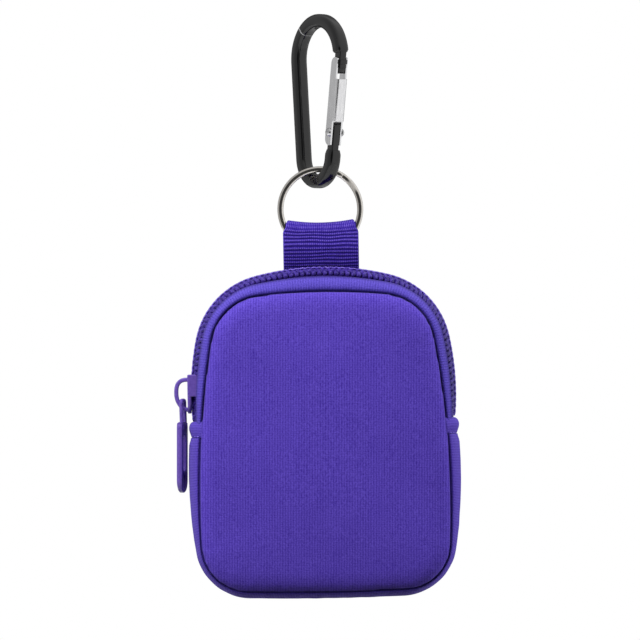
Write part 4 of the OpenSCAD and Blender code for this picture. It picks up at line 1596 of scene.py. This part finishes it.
@dataclass
class ZipSlider:
    """A die-cast slider with its bail and its long slotted pull, spray enamelled.

    Places are told as the slider has them: out from the zip's line, up along it and across it.
    seat is how far the parts sit from the plain model's place, in mm, since the real slider lies
    a little further in on the coil. turn is how far the hanging pull is turned from edge on. The
    pull's blade has a rim round its slot, and a hollow between two shares of the way across it.
    """

    enamel: Material
    half_length: float = 6.45
    half_width: float = 4.2
    corner_r: float = 1.2
    seat: Tuple[float, float] = (-0.45, 0.45)
    plates: Tuple[Tuple[float, float], ...] = ((0.2, 1.4), (-4.05, -3.25))
    plate_edge: float = 0.36
    flange: Tuple[float, float, float] = (3.35, 7.3, 0.55)
    flange_place: Tuple[float, float] = (-0.28, 2.8)
    flange_span: Tuple[float, float] = (3.3, 4.3)
    flange_edge: float = 0.3
    post: Tuple[float, float, float] = (1.6, 0.7, 0.25)
    post_up: float = -3.6
    post_span: Tuple[float, float] = (-3.3, 0.3)
    post_edge: float = 0.05
    bail_section: Tuple[float, float, float] = (1.4, 2.4, 0.5)
    bail_points: int = 60
    bail_passes: int = 6
    bail_path: Tuple[Tuple[float, float], ...] = (
        (1.0, 4.8), (2.4, 4.78), (3.6, 4.45), (4.6, 3.5), (5.05, 2.2), (5.15, 0.7), (5.1, -0.8),
        (4.7, -2.4), (3.75, -3.9), (2.6, -4.85), (1.3, -5.2),
    )
    pivot: Tuple[float, float] = (3.05, -2.06)
    turn: float = math.radians(13)
    eye_half_w: float = 2.35
    eye_bend_r: float = 0.9
    eye_leg: Tuple[float, float] = (-9.5, -1.2)
    eye_out: float = -0.3
    eye_r: float = 0.64
    eye_points: int = 70
    blade_half_w: float = 4.3
    blade_top: float = -8.7
    blade_shoulder: float = 1.7
    blade_foot: float = -26.2
    square_power: float = 0.5
    square_reach: float = 1.6
    slot_half_w: float = 1.75
    slot_ends: Tuple[float, float] = (-12.9, -21.6)
    blade_span: Tuple[float, float] = (-0.7, 1.0)
    blade_edge: float = 0.3
    blade_points: int = 96
    face_points: int = 15
    hollow: float = 0.55
    hollow_from: float = 0.1
    hollow_to: float = 0.74
    hollow_ease: float = 0.16

    def place(self, out: np.ndarray, up: np.ndarray, across: np.ndarray) -> np.ndarray:
        """Turns the slider's own places into places in the scene.

        Args:
            out: how far out from the zip's line, in mm.
            up: how far up along it from the slider's middle.
            across: how far across it, towards the front.

        Returns:
            Places in metres, with the coordinates last.
        """
        x = LINES.zip_inset - LINES.half_w - out - self.seat[0]
        z = LINES.zip_top - LINES.zip_widest_drop + up + self.seat[1]
        return LINES.place(np.stack(np.broadcast_arrays(x, z, across), axis=-1))

    def plate_outline(self) -> np.ndarray:
        """Draws a slider plate, round below and square above.

        Returns:
            Rows of up and across.
        """
        r, corner, top = self.half_width, self.corner_r, self.half_length
        low = np.radians(np.linspace(90, 270, 33))
        bow = np.stack([r - top + r * np.cos(low), r * np.sin(low)], axis=1)
        t = np.radians(np.linspace(-90, 0, 7))
        one = np.stack([top - corner + corner * np.cos(t), corner - r + corner * np.sin(t)], axis=1)
        return np.concatenate([bow, one, (one * (1, -1))[::-1]])

    def build_casting(self, name: str) -> Object:
        """Makes the two plates, the post between them and the flanges.

        Args:
            name: the piece's name.

        Returns:
            The casting.
        """
        parts = []
        for low, high in self.plates:
            flat, level = slab(self.plate_outline(), low, high, self.plate_edge)
            rings = self.place(level[:, None], flat[..., 0], flat[..., 1])
            parts.append(skin("plate", rings, crease=50))
        out, up = self.flange_place
        for side in (-1, 1):
            flat, level = slab(rounded_ring(*self.flange, 5), *self.flange_span, self.flange_edge)
            rings = self.place(flat[..., 0] + out, flat[..., 1] + up, side * level[:, None])
            parts.append(skin("flange", rings, crease=50))
        flat, level = slab(rounded_ring(*self.post, 3), *self.post_span, self.post_edge)
        rings = self.place(level[:, None], flat[..., 0] + self.post_up, flat[..., 1])
        parts.append(skin("post", rings, crease=50))
        return dress(joined(name, parts), self.enamel, Slot.PAINT)

    def build_bail(self, name: str) -> Object:
        """Makes the bail, a flat band bent to a D.

        Args:
            name: the piece's name.

        Returns:
            The bail.
        """
        knots = np.array(self.bail_path)
        t = np.linspace(0, len(knots) - 1, self.bail_points)
        path = np.stack([np.interp(t, range(len(knots)), knots[:, k]) for k in (0, 1)], axis=1)
        for _ in range(self.bail_passes):
            path[1:-1] = (path[:-2] + 2 * path[1:-1] + path[2:]) / 4
        ahead = np.gradient(path, axis=0)
        ahead /= np.linalg.norm(ahead, axis=1, keepdims=True)
        out = np.stack([ahead[:, 1], -ahead[:, 0]], axis=1)
        ring = rounded_ring(*self.bail_section, 4)
        flat = path[:, None] + ring[None, :, :1] * out[:, None]
        rings = self.place(flat[..., 0], flat[..., 1], ring[:, 1])
        return dress(skin(name, rings, crease=60), self.enamel, Slot.PAINT)

    def hang(self, points: np.ndarray) -> np.ndarray:
        """Hangs points of the pull on the bail, turned and upright.

        Args:
            points: out, up from the pull's bar and across, in mm, in the last axis.

        Returns:
            Places in metres.
        """
        c, s = math.cos(self.turn), math.sin(self.turn)
        cl, sl = math.cos(LINES.lean), math.sin(LINES.lean)
        out, up, across = points[..., 0], points[..., 1], points[..., 2]
        turned = out * c + across * s
        x = self.pivot[0] + turned * cl - up * sl
        y = self.pivot[1] + turned * sl + up * cl
        return self.place(x, y, across * c - out * s)

    def pull_eye(self) -> np.ndarray:
        """Bends the pull's round wire eye.

        Returns:
            Its rings, in the pull's own places.
        """
        r = self.eye_bend_r
        t = np.radians(np.linspace(0, 90, 8))
        bend = [0 * t, r * np.sin(t) - r, self.eye_half_w - r + r * np.cos(t)]
        low, high = self.eye_leg
        leg = [
            np.linspace(self.eye_out, 0, 12), np.linspace(low, high, 12), np.full(12, self.eye_half_w),
        ]
        half = np.hstack([leg, bend]).T
        wire = np.concatenate([half, (half * (1, 1, -1))[::-1]])
        places = lengths(wire)
        wire = at_lengths(wire, places, np.linspace(0, places[-1], self.eye_points))
        return tube_rings(wire, np.full(self.eye_points, self.eye_r), 12, np.array([1.0, 0, 0]))

    def pull_blade(self) -> np.ndarray:
        """Shapes the pull's blade round its slot.

        Returns:
            Its rings round the rim, in the pull's own places.
        """
        a = np.linspace(0, 2 * math.pi, self.blade_points, endpoint=False)
        c, s = np.cos(a), np.sin(a)
        w = self.blade_half_w
        squarer = np.sign(c) * (np.clip(abs(c) * self.square_reach, 0, 1) - abs(c))
        x = w * (c + np.clip(s, 0, 1) ** self.square_power * squarer)
        y = np.where(s < 0, w * s + self.blade_foot, self.blade_shoulder * s + self.blade_top)
        outer = np.stack([x, y], axis=1)
        middle = np.where(s < 0, self.slot_ends[1], self.slot_ends[0])
        inner = np.stack([self.slot_half_w * c, self.slot_half_w * s + middle], axis=1)
        t = np.linspace(0, 1, self.face_points)
        sunk = smoothstep((t - self.hollow_from) / self.hollow_ease)
        sunk = self.hollow * sunk * (1 - smoothstep((t - self.hollow_to) / self.hollow_ease))
        low, high = self.blade_span
        edge = self.blade_edge
        front = low + smoothstep((-s - 0.2) / 0.4)[:, None] * sunk
        back = np.full_like(front, high)
        span = np.linalg.norm(inner - outer, axis=1)[:, None]
        share = (edge + t * (span - 2 * edge)) / span
        zero, one = np.zeros_like(span), np.ones_like(span)
        share = np.hstack([zero, share, one, one, share[:, ::-1], zero])
        rims = [front[:, :1] + edge, front, front[:, -1:] + edge, back[:, :1] - edge]
        level = np.hstack([*rims, back, back[:, :1] - edge])
        flat = outer[:, None] + share[..., None] * (inner - outer)[:, None]
        return np.stack([level, flat[..., 1], flat[..., 0]], axis=-1)

    def build_pull(self, name: str) -> Object:
        """Makes the pull: a round wire eye and a slotted blade with a hollow below its slot.

        Args:
            name: the piece's name.

        Returns:
            The pull.
        """
        blade = skin("blade", self.hang(self.pull_blade()), looped=True, crease=40)
        eye = skin("eye", self.hang(self.pull_eye()))
        return dress(joined(name, [blade, eye]), self.enamel, Slot.PAINT)


# Webbing, ring and carabiner


@dataclass
class WebbingLoop:
    """Ribbed webbing folded round the bottom of the split ring and sewn in behind the zip.

    pocket_r is the fold's inside radius. fold_drop and floor_drop are how far the fold's middle
    and the pocket's floor lie below the ring's middle. selvage is the width of the smooth edges,
    where the ribs take the value smooth_rib. sag is how far the fold hangs in its middle.
    """

    material: Material
    half_w: float = 12.5
    fold_half_w: float = 11.5
    fold_corner: float = 0.7
    ply: float = 1.1
    ply_trim: float = 0.12
    edge_thinning: float = 0.25
    pocket_r: float = 1.9
    fold_drop: float = 6.3
    floor_drop: float = 14.6
    base_y: float = 2.4
    base_drop: float = 0.5
    sewn_l: float = 0.9
    rib_pitch: float = 1.24
    rib_height: float = 0.19
    rib_power: float = 0.8
    smooth_rib: float = 0.75
    skew: Ripples = Ripples(9.0, 0.10, 2)
    selvage: float = 0.65
    sag: float = 1.0
    sag_foot: float = 11.0
    sag_l: float = 7.0
    tails_l: float = 4.8
    tails_gap: float = 0.35
    columns: int = 56
    column_turn: float = 0.94 * math.pi / 2
    step: float = 0.155

    def side_path(self) -> np.ndarray:
        """Draws the middle of the strap seen from the side, from the front foot to the back one.

        Returns:
            Rows of y and z.
        """
        half = self.ply / 2
        r = self.pocket_r + half
        top, foot = LINES.ring_z - self.fold_drop, LINES.zip_top - self.base_drop
        floor, sewn = LINES.ring_z - self.floor_drop, foot - self.sewn_l
        front, back = self.base_y - half, self.base_y + half
        a = np.radians(np.linspace(180, 0, 25))
        knots = np.concatenate(
            [
                [[front, sewn], [front, foot], [0.2, foot + 1.6]],
                [[-1.7, floor + 0.4], [-r, floor + 2.2], [-r, floor + 5]],
                np.stack([r * np.cos(a), top + r * np.sin(a)], axis=1),
                [[r, floor + 5], [r, floor + 2.2], [r + 0.3, floor], [back, foot], [back, sewn]],
            ]
        )
        places = lengths(knots)
        line = at_lengths(knots, places, np.arange(0, places[-1], self.step))
        kernel = np.hanning(9) / np.hanning(9).sum()
        padded = np.concatenate([np.repeat(line[:1], 4, 0), line, np.repeat(line[-1:], 4, 0)])
        return np.stack([np.convolve(padded[:, k], kernel, "valid") for k in (0, 1)], axis=1)

    def strap(
        self, name: str, path: np.ndarray, widths: np.ndarray, calm: np.ndarray
    ) -> Object:
        """Weaves a strap along a side path.

        Args:
            name: the piece's name.
            path: its middle as y and z, in mm.
            widths: half its width at each point.
            calm: how much of the ribs shows at each point, from 0 to 1.

        Returns:
            The strap.
        """
        along = lengths(path)
        ahead = np.gradient(path, axis=0)
        ahead /= np.linalg.norm(ahead, axis=1, keepdims=True)
        out = np.stack([-ahead[:, 1], ahead[:, 0]], axis=1)
        turn = np.linspace(-1, 1, self.columns) * self.column_turn
        x = widths[:, None] * (np.sin(turn) / math.sin(self.column_turn))
        edge = smoothstep((widths[:, None] - np.abs(x)) / self.selvage)
        skew = self.skew.at(np.stack(np.broadcast_arrays(x, along[:, None]), axis=2))
        rib = 0.5 + 0.5 * np.cos(2 * math.pi * (along[:, None] / self.rib_pitch + skew))
        shown = edge * calm[:, None]
        rib = rib**self.rib_power * shown + (1 - shown) * self.smooth_rib
        thick = self.ply / 2 - self.ply_trim + self.rib_height * (rib - 0.5)
        thick = thick - self.edge_thinning * (1 - edge) ** 2
        top = smoothstep((path[:, 1] - (LINES.ring_z - self.sag_foot)) / self.sag_l)
        drop = self.sag * top[:, None] * (1 - (x / widths[:, None]) ** 2)
        faces = []
        for sign, order in ((1, slice(None)), (-1, slice(None, None, -1))):
            y = path[:, :1] + sign * thick * out[:, :1]
            z = path[:, 1:] + sign * thick * out[:, 1:] - drop
            faces.append(np.stack([x, y, z], axis=2)[:, order])
        rings = np.concatenate(faces, axis=1)
        c, s = math.cos(LINES.lean), math.sin(LINES.lean)
        dx, dz = rings[..., 0].copy(), rings[..., 2] - LINES.ring_z
        rings[..., 0] = dx * c - dz * s
        rings[..., 2] = LINES.ring_z + dx * s + dz * c
        piece = skin(name, rings * MM, crease=80, values={"rib": np.hstack([rib, rib[:, ::-1]])})
        return dress(piece, self.material, Slot.WEBBING)

    def build(self, name: str) -> Object:
        """Makes the folded strap and logs its cut length.

        Args:
            name: the piece's name.

        Returns:
            The strap.
        """
        path = self.side_path()
        below = LINES.ring_z - self.fold_drop - path[:, 1]
        wide = smoothstep((below + 0.9) / 2.4)
        tip = smoothstep(-below / (self.pocket_r + self.ply))
        widths = self.fold_half_w + (self.half_w - self.fold_half_w) * wide
        calm = 0.25 + 0.75 * smoothstep((below + 0.8) / 2.2)
        piece = self.strap(name, path, widths - self.fold_corner * tip**3, calm)
        length = float(lengths(path)[-1])
        LOG.info("%s was cut %.1f mm long", name, length)
        return piece

    def build_tails(self, name: str) -> Object:
        """Makes the two sewn-in ends below the loop.

        Args:
            name: the piece's name.

        Returns:
            Both ends as one piece.
        """
        high = LINES.zip_top - self.base_drop - self.ply - self.tails_gap
        z = np.arange(high, high - self.tails_l, -self.step)
        full = np.ones(len(z))
        parts = []
        for k, sign in enumerate((-1, 1)):
            path = np.stack([np.full_like(z, self.base_y + sign * self.ply / 2), z], axis=1)
            parts.append(self.strap(f"{name}_{k}", path, self.half_w * full, full))
        return dress(joined(name, parts), self.material, Slot.WEBBING)


@dataclass
class SplitRing:
    """A split ring: flat spring wire with rounded faces, wound twice and nickel plated.

    The wire crosses to the other turn between two angles, in degrees along the wire, and cross_at
    is where that is round the ring. taper is the size of the wire's ends as a share.
    """

    material: Material
    hole_r: float = 12.2
    wire_w: float = 2.0
    face_power: float = 0.75
    side_power: float = 0.8
    thickness: float = 2.6
    turn_gap: float = 0.1
    cross_at: float = 50.0
    cross_start: float = 328.0
    cross_end: float = 356.0
    cross_clear: float = 2.0
    taper: float = 0.72
    taper_angle: float = 5.0
    step: float = 2.5

    def section(self) -> np.ndarray:
        """Draws the wire's section: rounded faces and flatter sides.

        Returns:
            Rows of across and along the ring's axis.
        """
        half_w, half_t = self.wire_w / 2, (self.thickness - self.turn_gap) / 4
        t = np.linspace(0, 2 * math.pi, 24, endpoint=False)
        c, s = np.cos(t), np.sin(t)
        across = half_w * np.sign(c) * np.abs(c) ** self.face_power
        return np.stack([across, half_t * np.sign(s) * np.abs(s) ** self.side_power], axis=1)

    def build(self, name: str) -> Object:
        """Winds the wire from the front turn to the back one.

        Args:
            name: the piece's name.

        Returns:
            The ring.
        """
        lift = (self.thickness + self.turn_gap) / 4
        a = np.arange(self.cross_clear, 360 + self.cross_start - self.cross_clear, self.step)
        t = smoothstep((a - self.cross_start) / (self.cross_end - self.cross_start))
        level = lift * (1 - 2 * t)[:, None]
        turn = np.radians(a + self.cross_at - self.cross_end)[:, None]
        ends = np.minimum(a - a[0], a[-1] - a)[:, None]
        size = self.taper + (1 - self.taper) * np.sqrt(np.clip(ends / self.taper_angle, 0, 1))
        across, high = self.section().T
        r = self.hole_r + self.wire_w / 2 + across * size
        h = level + high * size
        x, z = r * np.cos(turn), LINES.ring_z + r * np.sin(turn)
        piece = skin(name, np.stack([x, -h, z], axis=2) * MM, crease=50)
        return dress(piece, self.material, Slot.NICKEL)


@dataclass
class Carabiner:
    """A pear-shaped carabiner: an anodised bow with two tongues, and a sheet metal gate.

    parting_at is where the pale parting line crosses the bow, in mm from the nose. collar is the
    step that the nose is milled to: rows of mm up from the nose and a share of the bar's size.
    """

    finishes: Finishes
    rod_t: float = 4.4
    rod_w: float = 4.8
    edge_r: float = 1.6
    top_r: float = 12.4
    bottom_r: float = 8.5
    span: float = 32.4
    turn: float = math.radians(56)
    lean: float = math.radians(0.9)
    nose_angle: float = math.radians(8)
    end_size_drop: float = 0.16
    end_round_l: float = 0.7
    hinge_shoulder: float = 3.0
    tongue_t: float = 3.2
    tongue_w: float = 2.7
    tongue_edge_r: float = 0.35
    tongue_shift: float = -0.3
    nose_tongue_end: float = 28.3
    hinge_tongue_end: float = 12.2
    tongue_root: float = 4.0
    collar: Tuple[Tuple[float, float], ...] = (
        (-1.9, 0.72), (-1.8, 0.8), (-0.6, 0.8), (-0.5, 0.88), (0.9, 0.88),
    )
    collar_shift: float = -0.1
    parting_at: float = 27.0
    parting_w: float = 0.16
    arc_steps: int = 60

    def __post_init__(self) -> None:
        """Works out the bow's centres and its tilt."""
        self.tilt = math.asin((self.top_r - self.bottom_r) / self.span)
        self.top_z = self.rod_t / 2 - self.top_r
        self.bottom_z = self.top_z - self.span
        self.line_l = self.span * math.cos(self.tilt)

    def place(self, points: np.ndarray) -> np.ndarray:
        """Turns points of the bow's own plane into the part's frame.

        Args:
            points: across, up and out of the plane, in mm, in the last axis.

        Returns:
            The places in metres.
        """
        u, up, h = points[..., 0], points[..., 1], points[..., 2]
        c, s = math.cos(self.turn), math.sin(self.turn)
        cl, sl = math.cos(self.lean), math.sin(self.lean)
        x = u * c - h * s
        return np.stack([x * cl + up * sl, -u * s - h * c, up * cl - x * sl], axis=-1) * MM

    def on_line(self, across: np.ndarray, up: np.ndarray) -> np.ndarray:
        """Places points beside the gate's line.

        Args:
            across: the distance out from the line.
            up: the distance up it.

        Returns:
            Across and up in the bow's plane, in the last axis.
        """
        c, s = math.cos(-self.tilt), math.sin(-self.tilt)
        x = across + self.bottom_r
        return np.stack([x * c - up * s, self.bottom_z + x * s + up * c], axis=-1)

    def bow_path(self) -> np.ndarray:
        """Draws the bow's middle line, from the nose to the hinge.

        Returns:
            Rows of across, up and the normal's angle.
        """
        top, foot = Arc(0, self.top_z, self.top_r), Arc(0, self.bottom_z, self.bottom_r)
        left, right = math.pi + self.tilt, 2 * math.pi - self.tilt
        last = foot.points(right, 0, 1)[:1]
        rise = self.hinge_shoulder * np.array([[math.sin(self.tilt), math.cos(self.tilt), 0]])
        spine = np.linspace(0, 1, 14)[1:-1, None]
        a = top.points(self.nose_angle, left, self.arc_steps)
        b = foot.points(left, right, self.arc_steps)
        return np.concatenate([a, a[-1] + spine * (b[0] - a[-1]), b, last + rise * 0.5, last + rise])

    def build_bow(self, name: str) -> Object:
        """Makes the bow with its nose and hinge tongues.

        Args:
            name: the piece's name.

        Returns:
            The bow.
        """
        path = self.bow_path()
        along = lengths(path[:, :2])
        near = self.parting_at + np.array([-0.5, -0.3, -0.2, -0.1, 0, 0.1, 0.2, 0.3, 0.5])
        path = at_lengths(path, along, np.sort(np.concatenate([along, near])))
        along = lengths(path[:, :2])
        ends = np.minimum(along, along[-1] - along)[:, None]
        size = 1 - self.end_size_drop * (1 - np.sqrt(np.clip(ends / self.end_round_l, 0, 1)))
        ring = rounded_ring(self.rod_t, self.rod_w, self.edge_r, 6)
        out = np.stack([np.cos(path[:, 2]), np.sin(path[:, 2])], axis=1)
        flat = path[:, None, :2] + size[..., None] * ring[None, :, :1] * out[:, None]
        rings = self.place(lifted(flat, size * ring[:, 1]))
        mark = fades(np.abs(along - self.parting_at), self.parting_w)
        values = {"parting": np.repeat(mark[:, None], len(ring), axis=1)}
        parts = [
            skin("bow", rings, crease=50, values=values),
            self.tongue(self.nose_tongue_end, self.line_l + self.tongue_root, True),
            self.tongue(0.0, self.hinge_tongue_end, False), self.milled_step(),
        ]
        return dress(joined(name, parts), self.finishes.anodised, Slot.ANODISED)

    def tongue(self, start: float, end: float, round_start: bool) -> Object:
        """Makes a flat tongue with one round end.

        Args:
            start: where it starts, up the gate's line in mm.
            end: where it ends.
            round_start: whether its lower end is the round one.

        Returns:
            The tongue.
        """
        r = self.tongue_t / 2
        up = np.linspace(start, end, 33)
        from_tip = (up - start) if round_start else (end - up)
        half = np.sqrt(np.clip(r * r - np.clip(r - from_tip, 0, r) ** 2, 0.02, None))
        ring = rounded_ring(2.0, self.tongue_w, self.tongue_edge_r, 4)
        across = self.tongue_shift + ring[None, :, 0] * half[:, None]
        flat = self.on_line(across, np.broadcast_to(up[:, None], across.shape))
        return skin("tongue", self.place(lifted(flat, ring[:, 1])), crease=50)

    def milled_step(self) -> Object:
        """Makes the small step that the nose is milled to, between the bow and its tongue.

        Returns:
            The step.
        """
        up, size = np.array(self.collar).T[..., None]
        ring = rounded_ring(self.rod_t, self.rod_w, self.edge_r, 5)
        across = ring[:, 0] * size + self.collar_shift
        flat = self.on_line(across, np.broadcast_to(self.line_l + up, across.shape))
        return skin("collar", self.place(lifted(flat, ring[:, 1] * size)), crease=40)


# Putting it together


@dataclass
class Studio:
    """A plain pale floor, a white surround, soft lamps and the camera."""

    distance: float = 3.0
    floor_z: float = -0.26
    centre_x: float = (PHOTO_SIDE / 2 - ORIGIN_PIXEL[0]) * MM_PER_PIXEL
    centre_z: float = -(PHOTO_SIDE / 2 - ORIGIN_PIXEL[1]) * MM_PER_PIXEL

    def camera(self) -> None:
        """Sets the camera level in front of the object, far away, as in the photograph."""
        data = bpy.data.cameras.new("camera")
        view_w = PHOTO_SIDE * MM_PER_PIXEL * MM
        data.sensor_width = 36.0
        data.lens = data.sensor_width * self.distance / view_w
        data.clip_start, data.clip_end = 0.05, 50.0
        camera = bpy.data.objects.new("camera", data)
        camera.location = (self.centre_x * MM, -self.distance, self.centre_z * MM)
        camera.rotation_euler = (math.pi / 2, 0, 0)
        bpy.context.scene.collection.objects.link(camera)
        bpy.context.scene.camera = camera

    def lamp(self, name: str, place: Tuple[float, float, float], size: float, power: float) -> None:
        """Adds a square soft lamp that points at the object and doesn't show in shiny faces.

        Args:
            name: the lamp's name.
            place: where it hangs, in metres.
            size: its side in metres.
            power: its power in watts.
        """
        data = bpy.data.lights.new(name, "AREA")
        data.shape = "SQUARE"
        data.size = size
        data.energy = power
        lamp = bpy.data.objects.new(name, data)
        lamp.location = place
        lamp.visible_glossy = False
        aim = Vector((0, 0, self.centre_z * MM)) - Vector(place)
        lamp.rotation_euler = aim.to_track_quat("-Z", "Y").to_euler()
        bpy.context.scene.collection.objects.link(lamp)

    def world(self) -> None:
        """Surrounds the object with white: plain to the camera, and dim below for soft light.

        Shiny faces see it dark round the camera and behind the object, and brighter on the right.
        """
        world = bpy.data.worlds.new("white_surround")
        world.use_nodes = True
        tree = world.node_tree
        tree.nodes.clear()
        direction = add_node(tree, "TexCoord").outputs["Generated"]
        parts = add_node(tree, "SeparateXYZ", None, None, {0: direction}).outputs
        ahead, aside, behind = [
            add_node(
                tree, "MapRange", {"interpolation_type": "SMOOTHSTEP"},
                {"From Min": start, "From Max": end, "To Min": first, "To Max": last},
                {"Value": parts[axis]},
            ).outputs[0]
            for axis, start, end, first, last in (
                ("Y", -0.985, -0.82, 0.06, 0.9), ("X", -0.7, 0.7, 0.62, 1.15),
                ("Y", 0.45, 0.85, 1.0, 0.2),
            )
        ]
        sides = add_node(tree, "Math", {"operation": "MULTIPLY"}, None, {0: ahead, 1: aside}).outputs[0]
        bright = add_node(
            tree, "Math", {"operation": "MULTIPLY"}, None, {0: sides, 1: behind}
        ).outputs[0]
        above = add_node(
            tree, "MapRange", None,
            {"From Min": -0.3, "From Max": 0.7, "To Min": 0.02, "To Max": 0.35}, {"Value": parts["Z"]},
        ).outputs[0]
        rays = add_node(tree, "LightPath")
        shiny = add_node(
            tree, "Math", {"operation": "MAXIMUM"}, None,
            {0: rays.outputs["Is Glossy Ray"], 1: rays.outputs["Is Transmission Ray"]},
        ).outputs[0]
        white = srgb("#ffffff")
        soft, mirrored = [
            add_node(tree, "Background", None, {"Color": white}, {"Strength": strength})
            for strength in (above, bright)
        ]
        plain = add_node(tree, "Background", None, {"Color": white, "Strength": 1.0})
        seen = add_node(
            tree, "MixShader", None, None, {0: shiny, 1: soft.outputs[0], 2: mirrored.outputs[0]}
        )
        both = add_node(
            tree, "MixShader", None, None,
            {0: rays.outputs["Is Camera Ray"], 1: seen.outputs[0], 2: plain.outputs[0]},
        )
        add_node(tree, "OutputWorld", None, None, {"Surface": both.outputs[0]})
        bpy.context.scene.world = world

    def floor(self) -> None:
        """Lays the matt floor below the hanging object: pale to look at, and dimmer as a bounce."""
        material, tree, shader = new_material("matt_white_floor")
        rays = add_node(tree, "LightPath")
        looked_at = rays.outputs["Is Camera Ray"]
        for kind in ("Is Glossy Ray", "Is Transmission Ray"):
            looked_at = add_node(
                tree, "Math", {"operation": "MAXIMUM"}, None, {0: looked_at, 1: rays.outputs[kind]},
            ).outputs[0]
        colour = add_node(
            tree, "Mix", {"data_type": "RGBA"}, {6: srgb("#484848"), 7: srgb("#f4f4f4")},
            {0: looked_at},
        ).outputs[2]
        set_surface(tree, shader, {"Base Color": colour}, {"Roughness": 0.9})
        work = bmesh.new()
        bmesh.ops.create_grid(work, x_segments=4, y_segments=4, size=0.42)
        mesh = bpy.data.meshes.new("floor")
        work.to_mesh(mesh)
        work.free()
        mesh.materials.append(material)
        floor = bpy.data.objects.new("floor", mesh)
        floor.location = (0, 0, self.floor_z)
        bpy.context.scene.collection.objects.link(floor)

    def build(self) -> None:
        """Builds the whole studio."""
        self.camera()
        self.world()
        self.floor()
        self.lamp("key", (-0.12, -0.3, 0.1), 0.24, 0.95)
        self.lamp("left_side", (-0.7, -0.2, 0.0), 0.5, 2.8)
        self.lamp("right_side", (0.7, 0.05, 0.0), 0.5, 3.6)
        self.lamp("top", (0.0, -0.1, 0.6), 0.4, 2.4)
        bpy.context.scene.view_settings.view_transform = "Standard"


def settle(piece: Object, body: Optional[Body], *nodes: str, fill: float = 0.0) -> None:
    """Hides the nodes that a piece replaces, hangs it on the body it moves with, and reports it.

    Args:
        piece: the piece.
        body: the body it rides on, or none for one that lies across both the pouch and its flap, which is
            left in place.
        nodes: the nodes it replaces.
        fill: how far it is filled, for a padded piece; not used.
    """
    if nodes:
        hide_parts(*nodes)
    if body:
        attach(piece, body.value)
    else:
        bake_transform(piece)
    LOG.info("%s is done", piece.name)


def build_fabric(finishes: Finishes) -> None:
    """Builds the padded pieces of the pouch.

    Args:
        finishes: the materials.
    """
    piece = PaddedPanel(Side.FRONT, finishes.panel).build("front_panel")
    settle(piece, None, "front_panel_upper", "front_panel_lower", fill=0.55)
    piece = PaddedPanel(Side.BACK, finishes.panel).build("back_panel_knit")
    settle(piece, Body.POUCH, "back_panel", fill=0.55)
    piece = PaddedBand(Side.FRONT, finishes.band).build("front_band")
    settle(piece, None, "front_zip_strip", "front_strip_ends", fill=0.7)
    piece = PaddedBand(Side.BACK, finishes.band).build("back_band")
    settle(piece, Body.POUCH, "back_zip_strip", fill=0.7)
    piece = Gusset(finishes.gusset).build("side_and_bottom_wall")
    settle(piece, Body.POUCH, "gusset", fill=0.5)
    for mirrored, side in ((True, "left"), (False, "right")):
        tab = EndTab(finishes.gusset, finishes.thread, mirrored)
        settle(tab.build(f"{side}_tab_roll"), Body.POUCH, f"{side}_end_tab", fill=0.8)
        settle(tab.stitches(f"{side}_tab_stitches"), Body.POUCH)


def build_zip(finishes: Finishes) -> None:
    """Builds both halves of the zip, its slider and the pull.

    Args:
        finishes: the materials.
    """
    front = (("front_zip_coil", "front_coil_ends"), ("front_zip_tape", "front_tape_ends"))
    back = (("back_zip_coil",), ("back_zip_tape",))
    for side, body, (coil_nodes, tape_nodes) in (
        (Side.FRONT, None, front), (Side.BACK, Body.POUCH, back),
    ):
        half = ZipHalf(side, finishes.coil, finishes.tape, finishes.thread)
        word = side.name.lower()
        settle(half.build_coil(f"{word}_wound_coil"), body, *coil_nodes)
        settle(half.build_tape(f"{word}_woven_tape"), body, *tape_nodes)
        settle(half.build_stitches(f"{word}_coil_thread"), body)
    slider = ZipSlider(finishes.enamel)
    settle(slider.build_casting("cast_slider"), Body.SLIDER, "slider_body")
    settle(slider.build_bail("bent_bail"), Body.SLIDER, "slider_bail")
    settle(slider.build_pull("slotted_pull"), Body.PULL, "pull_tab")


def build_hardware(finishes: Finishes) -> None:
    """Builds the webbing, the split ring and the carabiner.

    Args:
        finishes: the materials.
    """
    webbing = WebbingLoop(finishes.webbing)
    settle(webbing.build("folded_webbing"), Body.LOOP, "webbing_loop")
    settle(webbing.build_tails("sewn_in_ends"), Body.POUCH, "webbing_tails")
    settle(SplitRing(finishes.nickel).build("wound_ring"), Body.RING, "split_ring")
    settle(Carabiner(finishes).build_bow("anodised_bow"), Body.CARABINER, "carabiner_hook")
    dress_node("carabiner_gate", finishes.aluminium, 0.12)
    dress_node("gate_rivet", finishes.rivet, 0.08)
    dress_node("gate_spring", finishes.spring, 0.05)


def main() -> None:
    """Builds every piece in order."""
    logging.basicConfig(level=logging.INFO, format="%(name)s: %(message)s")
    Studio().build()
    finishes = Finishes()
    build_hardware(finishes)
    build_zip(finishes)
    build_fabric(finishes)


if __name__ == "__main__":
    main()
